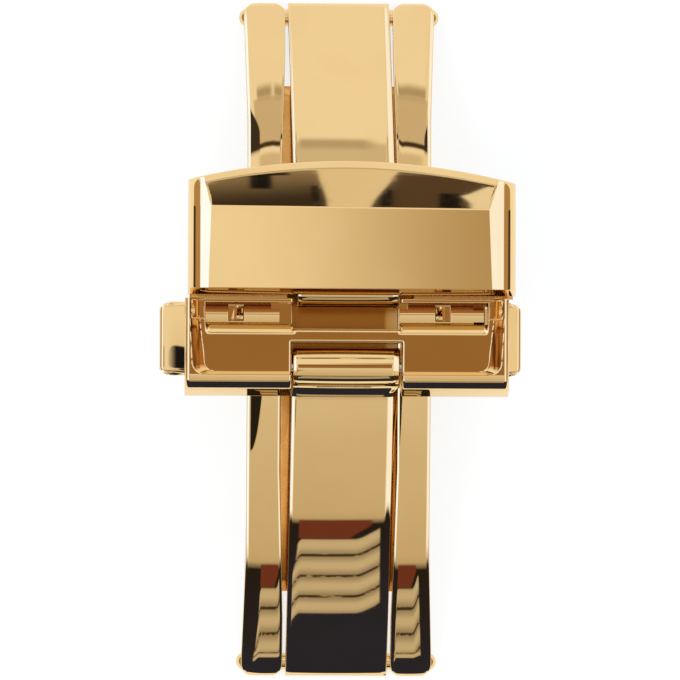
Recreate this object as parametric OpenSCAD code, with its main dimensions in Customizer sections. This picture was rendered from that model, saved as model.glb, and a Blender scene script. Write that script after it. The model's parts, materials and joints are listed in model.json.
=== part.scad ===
// Double-fold deployant clasp for a watch strap, closed, lying on the two ends of its arched base.
// Millimetres. X runs across the strap, Y along it and Z away from the wrist.
// The origin is on the surface that the clasp lies on, under the middle of the base.

/* [Base] */
// Radius of the outer face of the arched rails
arch_r = 32; // [30:0.5:36]
// Distance between the two end hinge pins
pin_span = 39; // [37:0.5:41]
// Overall width over the ends of the two rails
base_w = 11.5; // [11:0.1:12]
// Overall width over the rails at their waist
waist_w = 11.04; // [10.9:0.02:11.2]
// Length from the middle over which the rails keep their waist
waist_len = 13; // [11:0.5:14]
// Thickness of the rails
rail_t = 1.75; // [1.6:0.05:1.9]
// Gap between each blade edge and its rail at the rails' ends
end_gap = 0.2; // [0.14:0.01:0.26]
// The same at mid length, where the blades may stand askew
channel_gap = 0.51; // [0.48:0.01:0.58]
// Length from the middle over which the rails keep their mid width
rail_mid_len = 8; // [6:0.5:9]
// Thickness of the floor web between the rails
web_t = 0.4; // [0.3:0.05:0.5]
// Length of the floor web along the strap
web_len = 31.6; // [28:0.2:33]
// Corner radius of the rail ends, seen from above
rail_corner = 0.6; // [0.3:0.1:0.8]

/* [Blades] */
// Width of the two folding blades
blade_w = 6.14; // [5.8:0.02:6.2]
// Thickness of the blades
blade_t = 1.12; // [1:0.02:1.2]
// Width of the rolled knuckles
knuckle_w = 6.06; // [5.8:0.02:6.12]
// How far the upper blade's knuckle stands to one side within the play, as photographed
blade_skew = 0.48; // [0:0.02:0.5]
// The same for the lower blade's knuckle
lower_skew = 0.26; // [0:0.02:0.3]
// Radius of the upper blade's knuckle
knuckle_a_r = 1.2; // [1.1:0.05:1.25]
// Distance of the upper knuckle from the middle, along the strap
knuckle_a_y = 2.95; // [2.9:0.05:3.1]
// Radius of the lower blade's knuckle
knuckle_b_r = 1.15; // [1.05:0.05:1.2]
// Distance of the lower knuckle from the middle, along the strap
knuckle_b_y = 1.8; // [1.7:0.05:1.9]
// Height of both knuckle pins over the top of the arch
knuckle_rise = 0.95; // [0.9:0.05:1.05]

/* [Pins] */
// Radius of the end hinge pins
end_pin_r = 0.5; // [0.4:0.05:0.55]
// How far the domed pin ends stand proud of the rails
end_pin_proud = 0.3; // [0.2:0.05:0.4]
// Radius of the cover pin and the catch box pin
small_pin_r = 0.3; // [0.28:0.01:0.34]
// Radial running clearance of every hinge
hinge_gap = 0.05; // [0.03:0.01:0.08]

/* [Catch box] */
// Width of the catch box across the strap
box_w = 19.26; // [19:0.02:20]
// Front edge of the catch box, towards the cover
box_front = 2.3; // [2.1:0.05:2.32]
// Back edge of the catch box at its widest
box_back = 3.42; // [3.3:0.05:3.6]
// Height of the catch box
box_h = 3.3; // [3.2:0.05:3.5]
// Height of the recess floor over the underside of the box
floor_h = 2.2; // [2.15:0.05:2.3]
// Width of the recess floor, which takes the strap end
recess_w = 17.4; // [17.2:0.1:17.8]
// Width of the recess at the rim
recess_rim_w = 18.7; // [18.3:0.1:18.8]
// Back edge of the recess floor
recess_back = 2.0; // [1.9:0.05:2.1]
// Back edge of the recess at the rim
recess_rim_back = 2.25; // [2.15:0.05:2.3]
// How far the back wall leans in from its widest to its top edge
back_lean = 0.62; // [0.5:0.02:0.7]
// Height of the relief chamfer under the back edge
back_chamfer = 0.9; // [0.8:0.05:1]
// Gap between the box's underside and the top of the arch
box_gap = 0.12; // [0.1:0.02:0.16]
// Sideways place of the box within its hinge's play, as photographed
box_play = 0.36; // [0:0.02:0.36]
// Half width of the box's notch for the upper knuckle
notch_a_half = 3.2; // [3.18:0.01:3.3]
// Half width of the box's notch for the lower knuckle
notch_b_half = 3.3; // [3.26:0.01:3.4]
// Middle-side edge of the upper notch
notch_a_edge = 0.5; // [0.45:0.05:0.6]
// Middle-side edge of the lower notch
notch_b_edge = 0.1; // [0.05:0.05:0.2]
// Thickness of the bottom plate
plate_t = 0.4; // [0.35:0.01:0.42]

/* [Catch] */
// Sideways place of the windows in the bars
window_x = 6.2; // [6.2:0.01:6.24]
// Width of each window across the strap
window_w = 0.91; // [0.9:0.01:0.93]
// Length of each window along the strap
window_l = 0.95; // [0.92:0.01:0.97]
// Width of each catch post
post_w = 0.4; // [0.36:0.01:0.4]
// Place of the bars along the strap
bar_y = 1.405; // [1.38:0.005:1.42]
// Width of the plunger bars
bar_w = 1.32; // [1.3:0.01:1.34]
// Straight side height of the bars under their round top
bar_side = 0.4; // [0.36:0.01:0.42]
// Travel of the push buttons
button_travel = 0.45; // [0.4:0.01:0.45]
// Half the width over the two buttons
button_reach = 10.78; // [10.7:0.02:11]
// Length of a button along the strap
button_l = 4.42; // [4:0.02:4.44]
// Height of a button
button_h = 1.33; // [1.2:0.01:1.34]
// Radius of a button's outer corners
button_round = 0.5; // [0.2:0.1:0.8]
// Sliding clearance round the buttons and bars
slide_gap = 0.05; // [0.04:0.01:0.06]
// Outer radius of the return springs
spring_r = 0.58; // [0.54:0.01:0.58]
// Wire radius of the return springs
spring_wire_r = 0.1; // [0.08:0.01:0.11]
// Turns of each return spring
spring_turns = 5; // [4:1:5]

/* [Cover] */
// Front wall of the cover, towards the catch box
cover_front = 2.5; // [2.48:0.01:2.55]
// Place of the crease between the flat field and the sloping end
cover_crease = 7.67; // [7.4:0.05:8]
// Far end of the cover at mid width
cover_end = 10.7; // [10.4:0.05:11]
// Slope of the flat field in degrees
field_slope = 3; // [2:0.5:4]
// Slope of the cover's end in degrees
cover_slope = 18; // [14:1:20]
// Radius of the arched far edge, seen from above
cover_edge_r = 43; // [38:1:60]
// Width of the flat field
field_w = 16.7; // [16.4:0.02:17]
// Width over the bevels beside the flat field
bevel_w = 17.74; // [17.6:0.02:18]
// Slope of those bevels in degrees
bevel_a = 15; // [12:1:18]
// Radius of the rounded long edges
cover_round = 1.28; // [1.1:0.02:1.3]
// Thickness of the cover plate
cover_t = 0.75; // [0.7:0.05:0.8]
// Inner width of the cover, which takes the strap
tunnel_w = 17.8; // [17.6:0.02:18]
// Thickness of the front wall, which holds the cover pin
front_wall = 0.95; // [0.9:0.05:1.1]
// Sideways place of the cover within its hinge's play, as photographed
cover_play = 0.68; // [0:0.02:0.7]
// Gap between the cover's side walls and the rails' arch
cover_gap = 0.3; // [0.25:0.05:0.4]

/* [Strap bar] */
// Place of the strap bar along the strap
bar_place = 8.3; // [8:0.05:8.6]
// Height of the strap bar's axis over the top of the arch
bar_rise = 0.635; // [0.5:0.005:0.8]
// Outer radius of the strap bar's tube
tube_r = 0.75; // [0.7:0.01:0.8]
// Bore radius of the strap bar's tube
tube_bore_r = 0.5; // [0.46:0.01:0.52]
// Length of the tube
tube_l = 15.2; // [14.8:0.1:15.4]
// Radius of the tips that enter the walls
tip_r = 0.35; // [0.32:0.01:0.38]
// Radius of the holes for strap bar tips in the cover and in the catch box
tip_hole_r = 0.4; // [0.4:0.01:0.42]
// How far a tip enters its wall
tip_depth = 0.55; // [0.4:0.05:0.6]
// Travel of each tip
tip_travel = 0.6; // [0.5:0.05:0.6]

/* [Snap stud] */
// Place of the snap stud along the strap
stud_y = 9; // [8:0.5:11]
// Radius of the snap stud's head
stud_r = 0.6; // [0.5:0.05:0.7]
// Height of the head over the web
stud_h = 0.5; // [0.45:0.05:0.55]

/* [Hidden] */
$fn = 64;
arch_fn = 240;
eps = 0.01;
far = 60;
gold = [0.85, 0.68, 0.38];
steel = [0.72, 0.72, 0.74];

// Arch
pin_y = pin_span / 2;
mid_r = arch_r - rail_t / 2;
pin_a = asin(pin_y / mid_r);
pin_z = rail_t / 2;
arch_z = pin_z - mid_r * cos(pin_a);
top_z = arch_z + arch_r;
half_l = pin_y + rail_t / 2;
inner_end = blade_w / 2 + end_gap;
inner_mid = blade_w / 2 + channel_gap;
web_a = asin(web_len / 2 / arch_r);
blade_in = arch_r - blade_t;

// Catch box
knuckle_z = top_z + knuckle_rise;
box_z = top_z + box_gap;
box_top = box_z + box_h;
floor_z = box_z + floor_h;
back_toe = 0.48;
bar_z0 = box_z + plate_t + slide_gap;
bar_top = bar_z0 + bar_side + bar_w / 2;
button_y = -0.14;
button_z = box_z + plate_t + slide_gap + button_h / 2;
button_in = 8.6;
pocket_in = button_in - button_travel - 2 * slide_gap;
spring_y = -0.65;
spring_z = box_z + 1.1;
spring_bore_r = spring_r + 0.07;
spring_in = 5;
guide_r = 0.3;
guide_in = 6.3;
guide_out = button_in + 0.3;
bar_in = 3.6;
relief_gap = 0.09;
relief_l = 0.5;
channel_in = bar_in - button_travel - slide_gap;
box_pin_half = 6.4;
slot_in = 3.05;
slot_out = 8.45;
slot_front = 2.03;
slot_back = 0.78;
scoop = 0.5;
screw_spots = [[-4.2, -0.5], [4.2, -0.5], [-6.9, 0.36], [6.9, 0.36]];
screw_r = 0.22;
screw_head_r = 0.4;
screw_head_h = 0.18;
screw_l = 1.3;

// Catch posts: the slanted side lets the box lift along the blade's arc
post_back = bar_y - window_l / 2 + 0.09;
post_front = bar_y + window_l / 2 + 0.07;
post_slope = 0.46;
post_in = window_x - window_w / 2 + 0.03;
post_top = bar_top + 0.02;
hole_gap = 0.08;
post_foot = 1.5;
post_bite = 0.1;
post_head = 0.36;
ear_top = top_z - 0.35;
ear_out = post_in + post_w + 0.3;
ear_w = ear_out - min(waist_w, base_w) / 2 + 0.24;

// Cover
cover_z = box_top;
round_proud = 0.02;
crease_step = 0.02;
round_x = bevel_w / 2 - (cover_round - round_proud) * sin(bevel_a);
bevel_drop = (bevel_w - field_w) / 2 * tan(bevel_a);
round_z = -bevel_drop - (cover_round - round_proud) * cos(bevel_a);
cover_low = 8;
front_slant = 0.35;
front_slant_h = 0.9;
cover_w = 2 * (round_x + cover_round);
tip_end = tunnel_w / 2 + tip_depth;
bar_z = top_z + bar_rise;
collar_out = tunnel_w / 2 - 0.12;
collar_in = tube_l / 2 + tip_travel + 0.15;
tip_body_r = tube_bore_r - hinge_gap;
tip_body_in = 5.6;

// Outlines drawn in the Y, Z plane and stretched across the strap
module across(w, x = 0)
    translate([x, 0, 0]) rotate([90, 0, 90]) linear_extrude(w, center = true) children();

// Outlines drawn in the X, Z plane and stretched along the strap from y0 to y1
module along(y0, y1)
    translate([0, y1, 0]) rotate([90, 0, 0]) linear_extrude(y1 - y0) children();

// A round bar or bore along X from x0 to x1
module rod(r, x0, x1, y, z)
    translate([x0, y, z]) rotate([0, 90, 0]) cylinder(r = r, h = x1 - x0);

// A band of the arch between two radii and two angles from the vertical
module arch_band(r_out, r_in, a0, a1)
    translate([0, arch_z])
    intersection() {
        difference() {
            circle(r_out, $fn = arch_fn);
            circle(r_in, $fn = arch_fn);
        }
        polygon([[0, 0], far * [sin(a0), cos(a0)], far * [sin(a1), cos(a1)]]);
    }

module rail_outline() {
    arch_band(arch_r, arch_r - rail_t, -pin_a, pin_a);
    for (s = [-1, 1]) translate([s * pin_y, pin_z]) circle(rail_t / 2);
}

// The two rails seen from above
module rail_plan() {
    difference() {
        union() {
            square([base_w, 2 * (half_l - rail_corner)], center = true);
            square([base_w - 2 * rail_corner, 2 * half_l], center = true);
            for (sx = [-1, 1], sy = [-1, 1])
                translate([sx * (base_w / 2 - rail_corner), sy * (half_l - rail_corner)]) circle(rail_corner);
        }
        polygon([
            [inner_mid, -rail_mid_len], [inner_mid, rail_mid_len],
            [inner_end, half_l - 2 * rail_t], [inner_end, half_l + 1],
            [-inner_end, half_l + 1], [-inner_end, half_l - 2 * rail_t],
            [-inner_mid, rail_mid_len], [-inner_mid, -rail_mid_len],
            [-inner_end, -half_l + 2 * rail_t], [-inner_end, -half_l - 1],
            [inner_end, -half_l - 1], [inner_end, -half_l + 2 * rail_t]
        ]);
        for (s = [-1, 1])
            polygon([
                [s * waist_w / 2, -waist_len], [s * waist_w / 2, waist_len],
                [s * base_w / 2, half_l - 1], [s * base_w, half_l - 1],
                [s * base_w, 1 - half_l], [s * base_w / 2, 1 - half_l]
            ]);
    }
}

// A catch post in the Y, Z plane, or the hole round it with its gaps in front and behind
module post_outline(gap = 0, back_gap = 0) {
    front = post_front + gap;
    polygon([
        [post_back - back_gap, top_z - post_foot], [front, top_z - post_foot], [front, box_z],
        [front - post_slope * (post_top - box_z), post_top], [post_back - back_gap, post_top]
    ]);
}

// Its inner side is notched under the head, where the bar's window edge would bite
module catch_post(side)
    color(gold)
    difference() {
        across(post_w, side * (post_in + post_w / 2)) post_outline();
        translate([side * post_in, bar_y, (bar_z0 + post_top - post_head) / 2])
            cube([2 * post_bite, 2 * window_l, post_top - post_head - bar_z0], center = true);
    }

module base_frame() {
    color(gold)
    difference() {
        union() {
            intersection() {
                across(base_w) rail_outline();
                linear_extrude(2 * arch_r) rail_plan();
            }
            across(2 * inner_mid + 0.4) arch_band(arch_r - rail_t + web_t, arch_r - rail_t, -web_a, web_a);
            for (s = [-1, 1])
                across(ear_w, s * (ear_out - ear_w / 2))
                    polygon([
                        [post_back - 0.35, top_z - rail_t + 0.1], [post_front + 0.35, top_z - rail_t + 0.1],
                        [post_front + 0.35, ear_top], [post_back - 0.35, ear_top]
                    ]);
        }
        for (s = [-1, 1]) {
            rod(end_pin_r, -base_w, base_w, s * pin_y, pin_z);
            across(post_w, s * (post_in + post_w / 2)) post_outline();
        }
        translate([0, stud_y, 0]) cylinder(r = stud_r / 2, h = 2 * arch_r);
    }
}

// An end hinge pin with a domed head at each side
module hinge_pin(side) {
    dome_r = (end_pin_r * end_pin_r + end_pin_proud * end_pin_proud) / (2 * end_pin_proud);
    color(gold) {
        rod(end_pin_r, -base_w / 2, base_w / 2, side * pin_y, pin_z);
        for (s = [-1, 1])
            translate([s * base_w / 2, side * pin_y, pin_z]) rotate([0, s * 90, 0])
                rotate_extrude()
                    intersection() {
                        translate([0, end_pin_proud - dome_r]) circle(dome_r);
                        square([end_pin_r, end_pin_proud]);
                    }
    }
}

// Rivet through the web whose low round head snaps into the upper blade's underside
module snap_stud() {
    web_z = arch_z + sqrt(pow(arch_r - rail_t + web_t, 2) - stud_y * stud_y);
    color(steel)
    translate([0, stud_y, 0]) {
        translate([0, 0, web_z - web_t]) cylinder(r = stud_r / 2, h = web_t + stud_h / 2);
        translate([0, 0, web_z + 0.1]) cylinder(r = stud_r, h = stud_h);
    }
}

// Arm of a blade from its eye to angle a, with its step up to the knuckle at distance y
module blade_outline(y, r) {
    a = asin((y + 1.2) / arch_r);
    arch_band(arch_r, blade_in, a, pin_a);
    translate([pin_y, pin_z]) circle(rail_t / 2);
    translate([y, knuckle_z]) circle(r);
    polygon([
        [y - 0.85, arch_z + blade_in], [y + 2.2, arch_z + blade_in - 0.22],
        [y + 2.2, top_z - 0.42], [y + 1.85, top_z - 0.3],
        [y + r * 0.87, knuckle_z - r * 0.5], [y - r * 0.8, knuckle_z - r * 0.6]
    ]);
}

// A blade seen from above: as wide as blade_w along its arm and as knuckle_w from y_in inwards
module blade_plan(side, y, y_in, skew) {
    function lean(v) = skew * (pin_y - v) / (pin_y - y);
    polygon([
        for (e = [
            [-blade_w / 2, half_l], [-blade_w / 2 + lean(y_in), y_in],
            [-knuckle_w / 2 + skew, y_in - 0.3], [-knuckle_w / 2 + skew, -y],
            [knuckle_w / 2 + skew, -y], [knuckle_w / 2 + skew, y_in - 0.3],
            [blade_w / 2 + lean(y_in), y_in], [blade_w / 2, half_l]
        ]) [e[0], side * e[1]]
    ]);
}

module blade(side, y, r, skew = 0)
    difference() {
        intersection() {
            across(far) mirror([side < 0 ? 1 : 0, 0]) blade_outline(y, r);
            linear_extrude(far) blade_plan(side, y, y + 1.6, skew);
        }
        rod(end_pin_r + hinge_gap, -base_w, base_w, side * pin_y, pin_z);
        rod(small_pin_r + hinge_gap, -base_w, base_w, side * y, knuckle_z);
    }

module upper_blade() {
    web_z = arch_z + sqrt(pow(arch_r - rail_t + web_t, 2) - stud_y * stud_y);
    color(gold)
    difference() {
        blade(1, knuckle_a_y, knuckle_a_r, blade_skew);
        translate([0, stud_y, web_z - 1]) cylinder(r = stud_r + 0.35, h = 1 + stud_h + 0.25);
    }
}

module lower_blade()
    color(gold) blade(-1, knuckle_b_y, knuckle_b_r, lower_skew);

// Outline of the catch box in the Y, Z plane
module box_outline(z0, z1)
    intersection() {
        polygon([
            [box_front, box_z], [box_front, box_top], [-box_back + back_lean, box_top],
            [-box_back, box_z + back_chamfer], [-knuckle_b_y - back_toe, box_z]
        ]);
        translate([-far, z0]) square([2 * far, z1 - z0]);
    }

// Openings that the box body and its bottom plate share
module box_notches() {
    translate([-notch_a_half, notch_a_edge, 0]) cube([2 * notch_a_half, far, far]);
    translate([-notch_b_half, -notch_b_edge - far, 0]) cube([2 * notch_b_half, far, far]);
}

// The flat screws that hold the bottom plate, or with below set the holes that they fill
module screws(below = 0)
    for (p = screw_spots) translate([p[0], p[1], box_z - below]) {
        cylinder(r = screw_head_r, h = screw_head_h + below);
        cylinder(r = screw_r, h = screw_l + below);
    }

module catch_box() {
    strap_hole_z = box_z + 2.75;
    color(gold)
    difference() {
        translate([box_play, 0, 0])
        difference() {
            across(box_w) box_outline(box_z + plate_t, box_top);
            // Recess for the strap end, open towards the cover
            intersection() {
                along(-far, far)
                    polygon([
                        [-recess_w / 2, floor_z], [recess_w / 2, floor_z],
                        [recess_rim_w / 2, box_top + eps], [-recess_rim_w / 2, box_top + eps]
                    ]);
                across(far)
                    polygon([
                        [-recess_back, floor_z], [far, floor_z],
                        [far, box_top + eps], [-recess_rim_back, box_top + eps]
                    ]);
            }
            box_notches();
            for (s = [-1, 1]) {
                // Slot in the floor over the bar, with its scooped edge
                translate([s * (slot_in + slot_out) / 2, (slot_front + slot_back) / 2, floor_z])
                    cube([slot_out - slot_in, slot_front - slot_back, 3], center = true);
                across(slot_out - slot_in - 0.4, s * (slot_in + slot_out) / 2)
                    polygon([
                        [slot_back + eps, floor_z - scoop / 2], [slot_back + eps, floor_z + eps],
                        [slot_back - scoop, floor_z + eps]
                    ]);
                // Bore for the box pin
                rod(small_pin_r, s > 0 ? 0 : -far, s > 0 ? far : 0, -knuckle_b_y, knuckle_z);
            }
            rod(tip_hole_r, -far, far, bar_y + 0.15, strap_hole_z);
            screws(plate_t);
        }
        for (s = [-1, 1]) {
            // Channel of the bar, pocket of the button and bore of the spring
            translate([s * (channel_in + pocket_in + 1) / 2, bar_y, (bar_z0 + bar_top) / 2])
                cube([pocket_in + 1 - channel_in, bar_w + 2 * slide_gap, bar_top - bar_z0 + 2 * slide_gap],
                    center = true);
            translate([s * (pocket_in + far / 2), button_y, button_z])
                cube([far, button_l + 2 * slide_gap, button_h + 2 * slide_gap], center = true);
            rod(spring_bore_r, s > 0 ? spring_in : -pocket_in - 1, s > 0 ? pocket_in + 1 : -spring_in,
                spring_y, spring_z);
        }
    }
}

module bottom_plate()
    color(gold)
    difference() {
        translate([box_play, 0, 0])
        difference() {
            across(box_w) box_outline(box_z, box_z + plate_t);
            box_notches();
            screws(plate_t);
        }
        for (s = [-1, 1])
            across(post_w + 2 * hole_gap, s * (post_in + post_w / 2)) post_outline(hole_gap, 2.5 * hole_gap);
    }

module plate_screws()
    color(steel) translate([box_play, 0, 0]) screws();

module catch_box_pin()
    color(steel) rod(small_pin_r, -box_pin_half, box_pin_half, -knuckle_b_y, knuckle_z);

module guide_rod(side)
    rod(guide_r, side > 0 ? guide_in : -guide_out, side > 0 ? guide_out : -guide_in, spring_y, spring_z);

module button(side)
    color(gold)
    difference() {
        translate([0, button_y, button_z - button_h / 2]) linear_extrude(button_h) {
            translate([side * (button_in + button_reach - button_round) / 2, 0])
                square([button_reach - button_in - button_round, button_l], center = true);
            for (t = [-1, 1])
                translate([side * (button_reach - button_round), t * (button_l / 2 - button_round)])
                    circle(button_round);
            translate([side * (button_reach - button_round / 2), 0])
                square([button_round, button_l - 2 * button_round], center = true);
        }
        guide_rod(side);
    }

module plunger(side)
    color(gold)
    difference() {
        across(button_in - bar_in, side * (button_in + bar_in) / 2) {
            translate([bar_y - bar_w / 2, bar_z0]) square([bar_w, bar_side]);
            intersection() {
                translate([bar_y, bar_z0 + bar_side]) circle(bar_w / 2);
                translate([-far, bar_z0]) square(2 * far);
            }
        }
        translate([side * window_x, bar_y, bar_z0]) cube([window_w, window_l, far], center = true);
        // Relief at the bar's inner end, which passes the upper blade's knuckle when pressed
        translate([side * bar_in, knuckle_a_y - knuckle_a_r - relief_gap + bar_w / 2, bar_z0])
            cube([2 * relief_l, bar_w, far], center = true);
    }

module guide_pin(side)
    color(steel) guide_rod(side);

// A coil spring along X as one tube of six sides, eight rings to a turn, between x0 and x1
module coil(r, wire, turns, x0, x1) {
    rings = turns * 8;
    reach = x1 - x0 - 2 * wire;
    function centre(i) = [x0 + wire + reach * i / rings, r * cos(45 * i), r * sin(45 * i)];
    function ring(i) = [
        for (k = [0:5])
            centre(i) + wire * [sin(60 * k), cos(60 * k) * cos(45 * i), cos(60 * k) * sin(45 * i)]
    ];
    pts = [for (i = [0:rings]) each ring(i)];
    faces = [
        for (i = [0:rings - 1], k = [0:5])
            each [
                [i * 6 + k, i * 6 + (k + 1) % 6, (i + 1) * 6 + k],
                [i * 6 + (k + 1) % 6, (i + 1) * 6 + (k + 1) % 6, (i + 1) * 6 + k]
            ],
        for (k = [1:4]) [0, k + 1, k],
        for (k = [1:4]) [rings * 6, rings * 6 + k, rings * 6 + k + 1]
    ];
    echo(least_gap_between_turns = reach / turns - 2 * wire);
    polyhedron(pts, faces);
}

module button_spring(side)
    color(steel)
    translate([0, spring_y, spring_z]) rotate([0, side > 0 ? 0 : 180, 0])
        coil(spring_r - spring_wire_r, spring_wire_r, spring_turns, spring_in + 0.02, button_in - 0.02);

// Section of the cover in the X, Z plane with its top at z = 0, or of its inside, t lower and clipped to half.
// The sloping stretch stands wider by a little, so that the two cross cleanly
module cover_section(t, half, wider = 0)
    intersection() {
        union() {
            polygon([
                [-bevel_w / 2, -cover_low], [bevel_w / 2, -cover_low], [bevel_w / 2, -bevel_drop],
                [field_w / 2 - wider, 0], [wider - field_w / 2, 0], [-bevel_w / 2, -bevel_drop]
            ]);
            for (s = [-1, 1]) {
                translate([s * (round_x + wider), round_z]) circle(cover_round);
                translate([s * (round_x + wider), -cover_low])
                    translate([s > 0 ? 0 : -cover_round, 0]) square([cover_round, cover_low + round_z]);
            }
        }
        translate([-half, -cover_low - t]) square([2 * half, cover_low]);
    }

// The cover's bent roof: what a level stretch and a sloping one have in common
module cover_roof(t, half, y0)
    translate([0, cover_front, cover_z]) intersection() {
        rotate([-field_slope, 0, 0]) along(y0 - cover_front - 1, 2 * cover_end) cover_section(t, half);
        translate([0, cover_crease - cover_front, (cover_front - cover_crease) * tan(field_slope)])
            rotate([-cover_slope, 0, 0]) along(-cover_end, cover_end) cover_section(t, half, crease_step);
        translate([-far, y0 - cover_front, -far]) cube(2 * far);
    }

module cover_plate() {
    end_cy = cover_end - cover_edge_r;
    color(gold)
    translate([cover_play, 0, 0])
    difference() {
        intersection() {
            cover_roof(0, cover_w, cover_front);
            translate([0, end_cy, 0]) cylinder(r = cover_edge_r, h = far, $fn = arch_fn);
        }
        intersection() {
            cover_roof(cover_t, tunnel_w / 2, cover_front + front_wall);
            translate([-far, cover_front + front_wall, 0]) cube(2 * far);
        }
        // Slanted top of the front wall
        across(far) translate([cover_front, cover_z])
            polygon([[-eps, -front_slant_h], [front_slant, eps], [-eps, eps]]);
        // Clear of the rails' arch
        across(far) translate([0, arch_z]) circle(arch_r + cover_gap, $fn = arch_fn);
        // Room for the upper blade's knuckle and its neck
        translate([-cover_play, 0, 0]) {
            rod(knuckle_a_r + 0.12, -knuckle_w / 2 - 0.1, knuckle_w / 2 + 2 * cover_play + 0.1,
                knuckle_a_y, knuckle_z);
            translate([-knuckle_w / 2 - 0.1, 0, 0])
                cube([knuckle_w + 2 * cover_play + 0.2, knuckle_a_y + 3, knuckle_z]);
        }
        rod(small_pin_r, -far, far, knuckle_a_y, knuckle_z);
        rod(tip_hole_r, -far, far, bar_place, bar_z);
    }
}

module cover_pin()
    color(steel)
    rod(small_pin_r, cover_play - cover_w / 2 + 0.3, cover_play + cover_w / 2 - 0.3, knuckle_a_y, knuckle_z);

module strap_bar_tube()
    color(steel)
    translate([cover_play, 0, 0])
    difference() {
        rod(tube_r, -tube_l / 2, tube_l / 2, bar_place, bar_z);
        rod(tube_bore_r, -far, far, bar_place, bar_z);
    }

module strap_bar_tip(side)
    color(steel)
    translate([cover_play, bar_place, bar_z]) rotate([0, side * 90, 0]) {
        translate([0, 0, tip_body_in]) cylinder(r = tip_body_r, h = collar_in - tip_body_in + 0.1);
        translate([0, 0, collar_in]) cylinder(r = tube_r - 0.1, h = collar_out - collar_in);
        translate([0, 0, collar_in]) cylinder(r = tip_r, h = tip_end - collar_in);
    }

module strap_bar_spring()
    color(steel)
    translate([cover_play, bar_place, bar_z]) rotate([0, 90, 0])
    difference() {
        cylinder(r = tip_body_r - 0.03, h = 2 * (tip_body_in - 0.03), center = true);
        cylinder(r = tip_body_r - 0.18, h = far, center = true);
    }

base_frame();
hinge_pin(1);  // upper_hinge_pin
hinge_pin(-1);  // lower_hinge_pin
catch_post(-1);  // catch_post_left
catch_post(1);  // catch_post_right
snap_stud();
upper_blade();
lower_blade();
cover_plate();
cover_pin();
strap_bar_tube();
strap_bar_tip(-1);  // strap_bar_tip_left
strap_bar_tip(1);  // strap_bar_tip_right
strap_bar_spring();
catch_box();
catch_box_pin();
bottom_plate();
plate_screws();
button(-1);  // button_left
button(1);  // button_right
plunger(-1);  // plunger_left
plunger(1);  // plunger_right
guide_pin(-1);  // guide_pin_left
guide_pin(1);  // guide_pin_right
button_spring(-1);  // button_spring_left
button_spring(1);  // button_spring_right
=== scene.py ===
"""Double-fold deployant clasp in polished gold, seen from above as in the photograph.

Shapes are written in millimetres. X runs across the strap, Y along it and Z up.
"""

import bpy
import bmesh
import json
from math import acos, asin, copysign, cos, degrees, hypot, pi, radians, sin, sqrt, tan
from mathutils import Matrix, Vector
from mathutils.geometry import tessellate_polygon


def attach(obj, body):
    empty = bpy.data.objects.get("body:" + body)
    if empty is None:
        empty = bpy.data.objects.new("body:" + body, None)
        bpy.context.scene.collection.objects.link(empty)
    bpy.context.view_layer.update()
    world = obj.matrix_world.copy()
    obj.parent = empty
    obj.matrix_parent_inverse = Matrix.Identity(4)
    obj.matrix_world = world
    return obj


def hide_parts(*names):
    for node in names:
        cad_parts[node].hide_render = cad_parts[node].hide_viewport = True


MM = 0.001
scene = bpy.context.scene
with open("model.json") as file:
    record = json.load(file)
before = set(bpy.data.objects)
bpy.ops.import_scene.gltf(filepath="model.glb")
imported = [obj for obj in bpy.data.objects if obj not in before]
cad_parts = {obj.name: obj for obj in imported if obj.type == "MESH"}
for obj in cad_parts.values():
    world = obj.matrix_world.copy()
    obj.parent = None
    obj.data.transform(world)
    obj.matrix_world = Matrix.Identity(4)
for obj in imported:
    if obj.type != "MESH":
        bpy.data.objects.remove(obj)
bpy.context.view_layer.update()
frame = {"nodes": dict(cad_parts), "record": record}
nodes = frame["nodes"]

# The solids' main sizes

ARCH_R = 32.0
RAIL_T = 1.75
PIN_Y = 19.5
PIN_Z = RAIL_T / 2
MID_R = ARCH_R - RAIL_T / 2
PIN_A = asin(PIN_Y / MID_R)
PIN_DEG = degrees(PIN_A)
ARCH_Z = PIN_Z - MID_R * cos(PIN_A)
TOP_Z = ARCH_Z + ARCH_R
HALF_L = PIN_Y + RAIL_T / 2
KNUCKLE_Z = TOP_Z + 0.95
UPPER_KNUCKLE_Y, UPPER_KNUCKLE_R = 2.95, 1.2
LOWER_KNUCKLE_Y, LOWER_KNUCKLE_R = 1.8, 1.15
SMALL_PIN_R = 0.3
TIP_R = 0.4
# A cut from side to side runs this far
RIGHT_THROUGH = (-12, 12)
BOX_Z = TOP_Z + 0.12
BOX_TOP = BOX_Z + 3.3

# How far the catch box and the cover stand towards +X of their middles, as in the photograph
BOX_PLAY = 0.43
COVER_PLAY = 0.72


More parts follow.
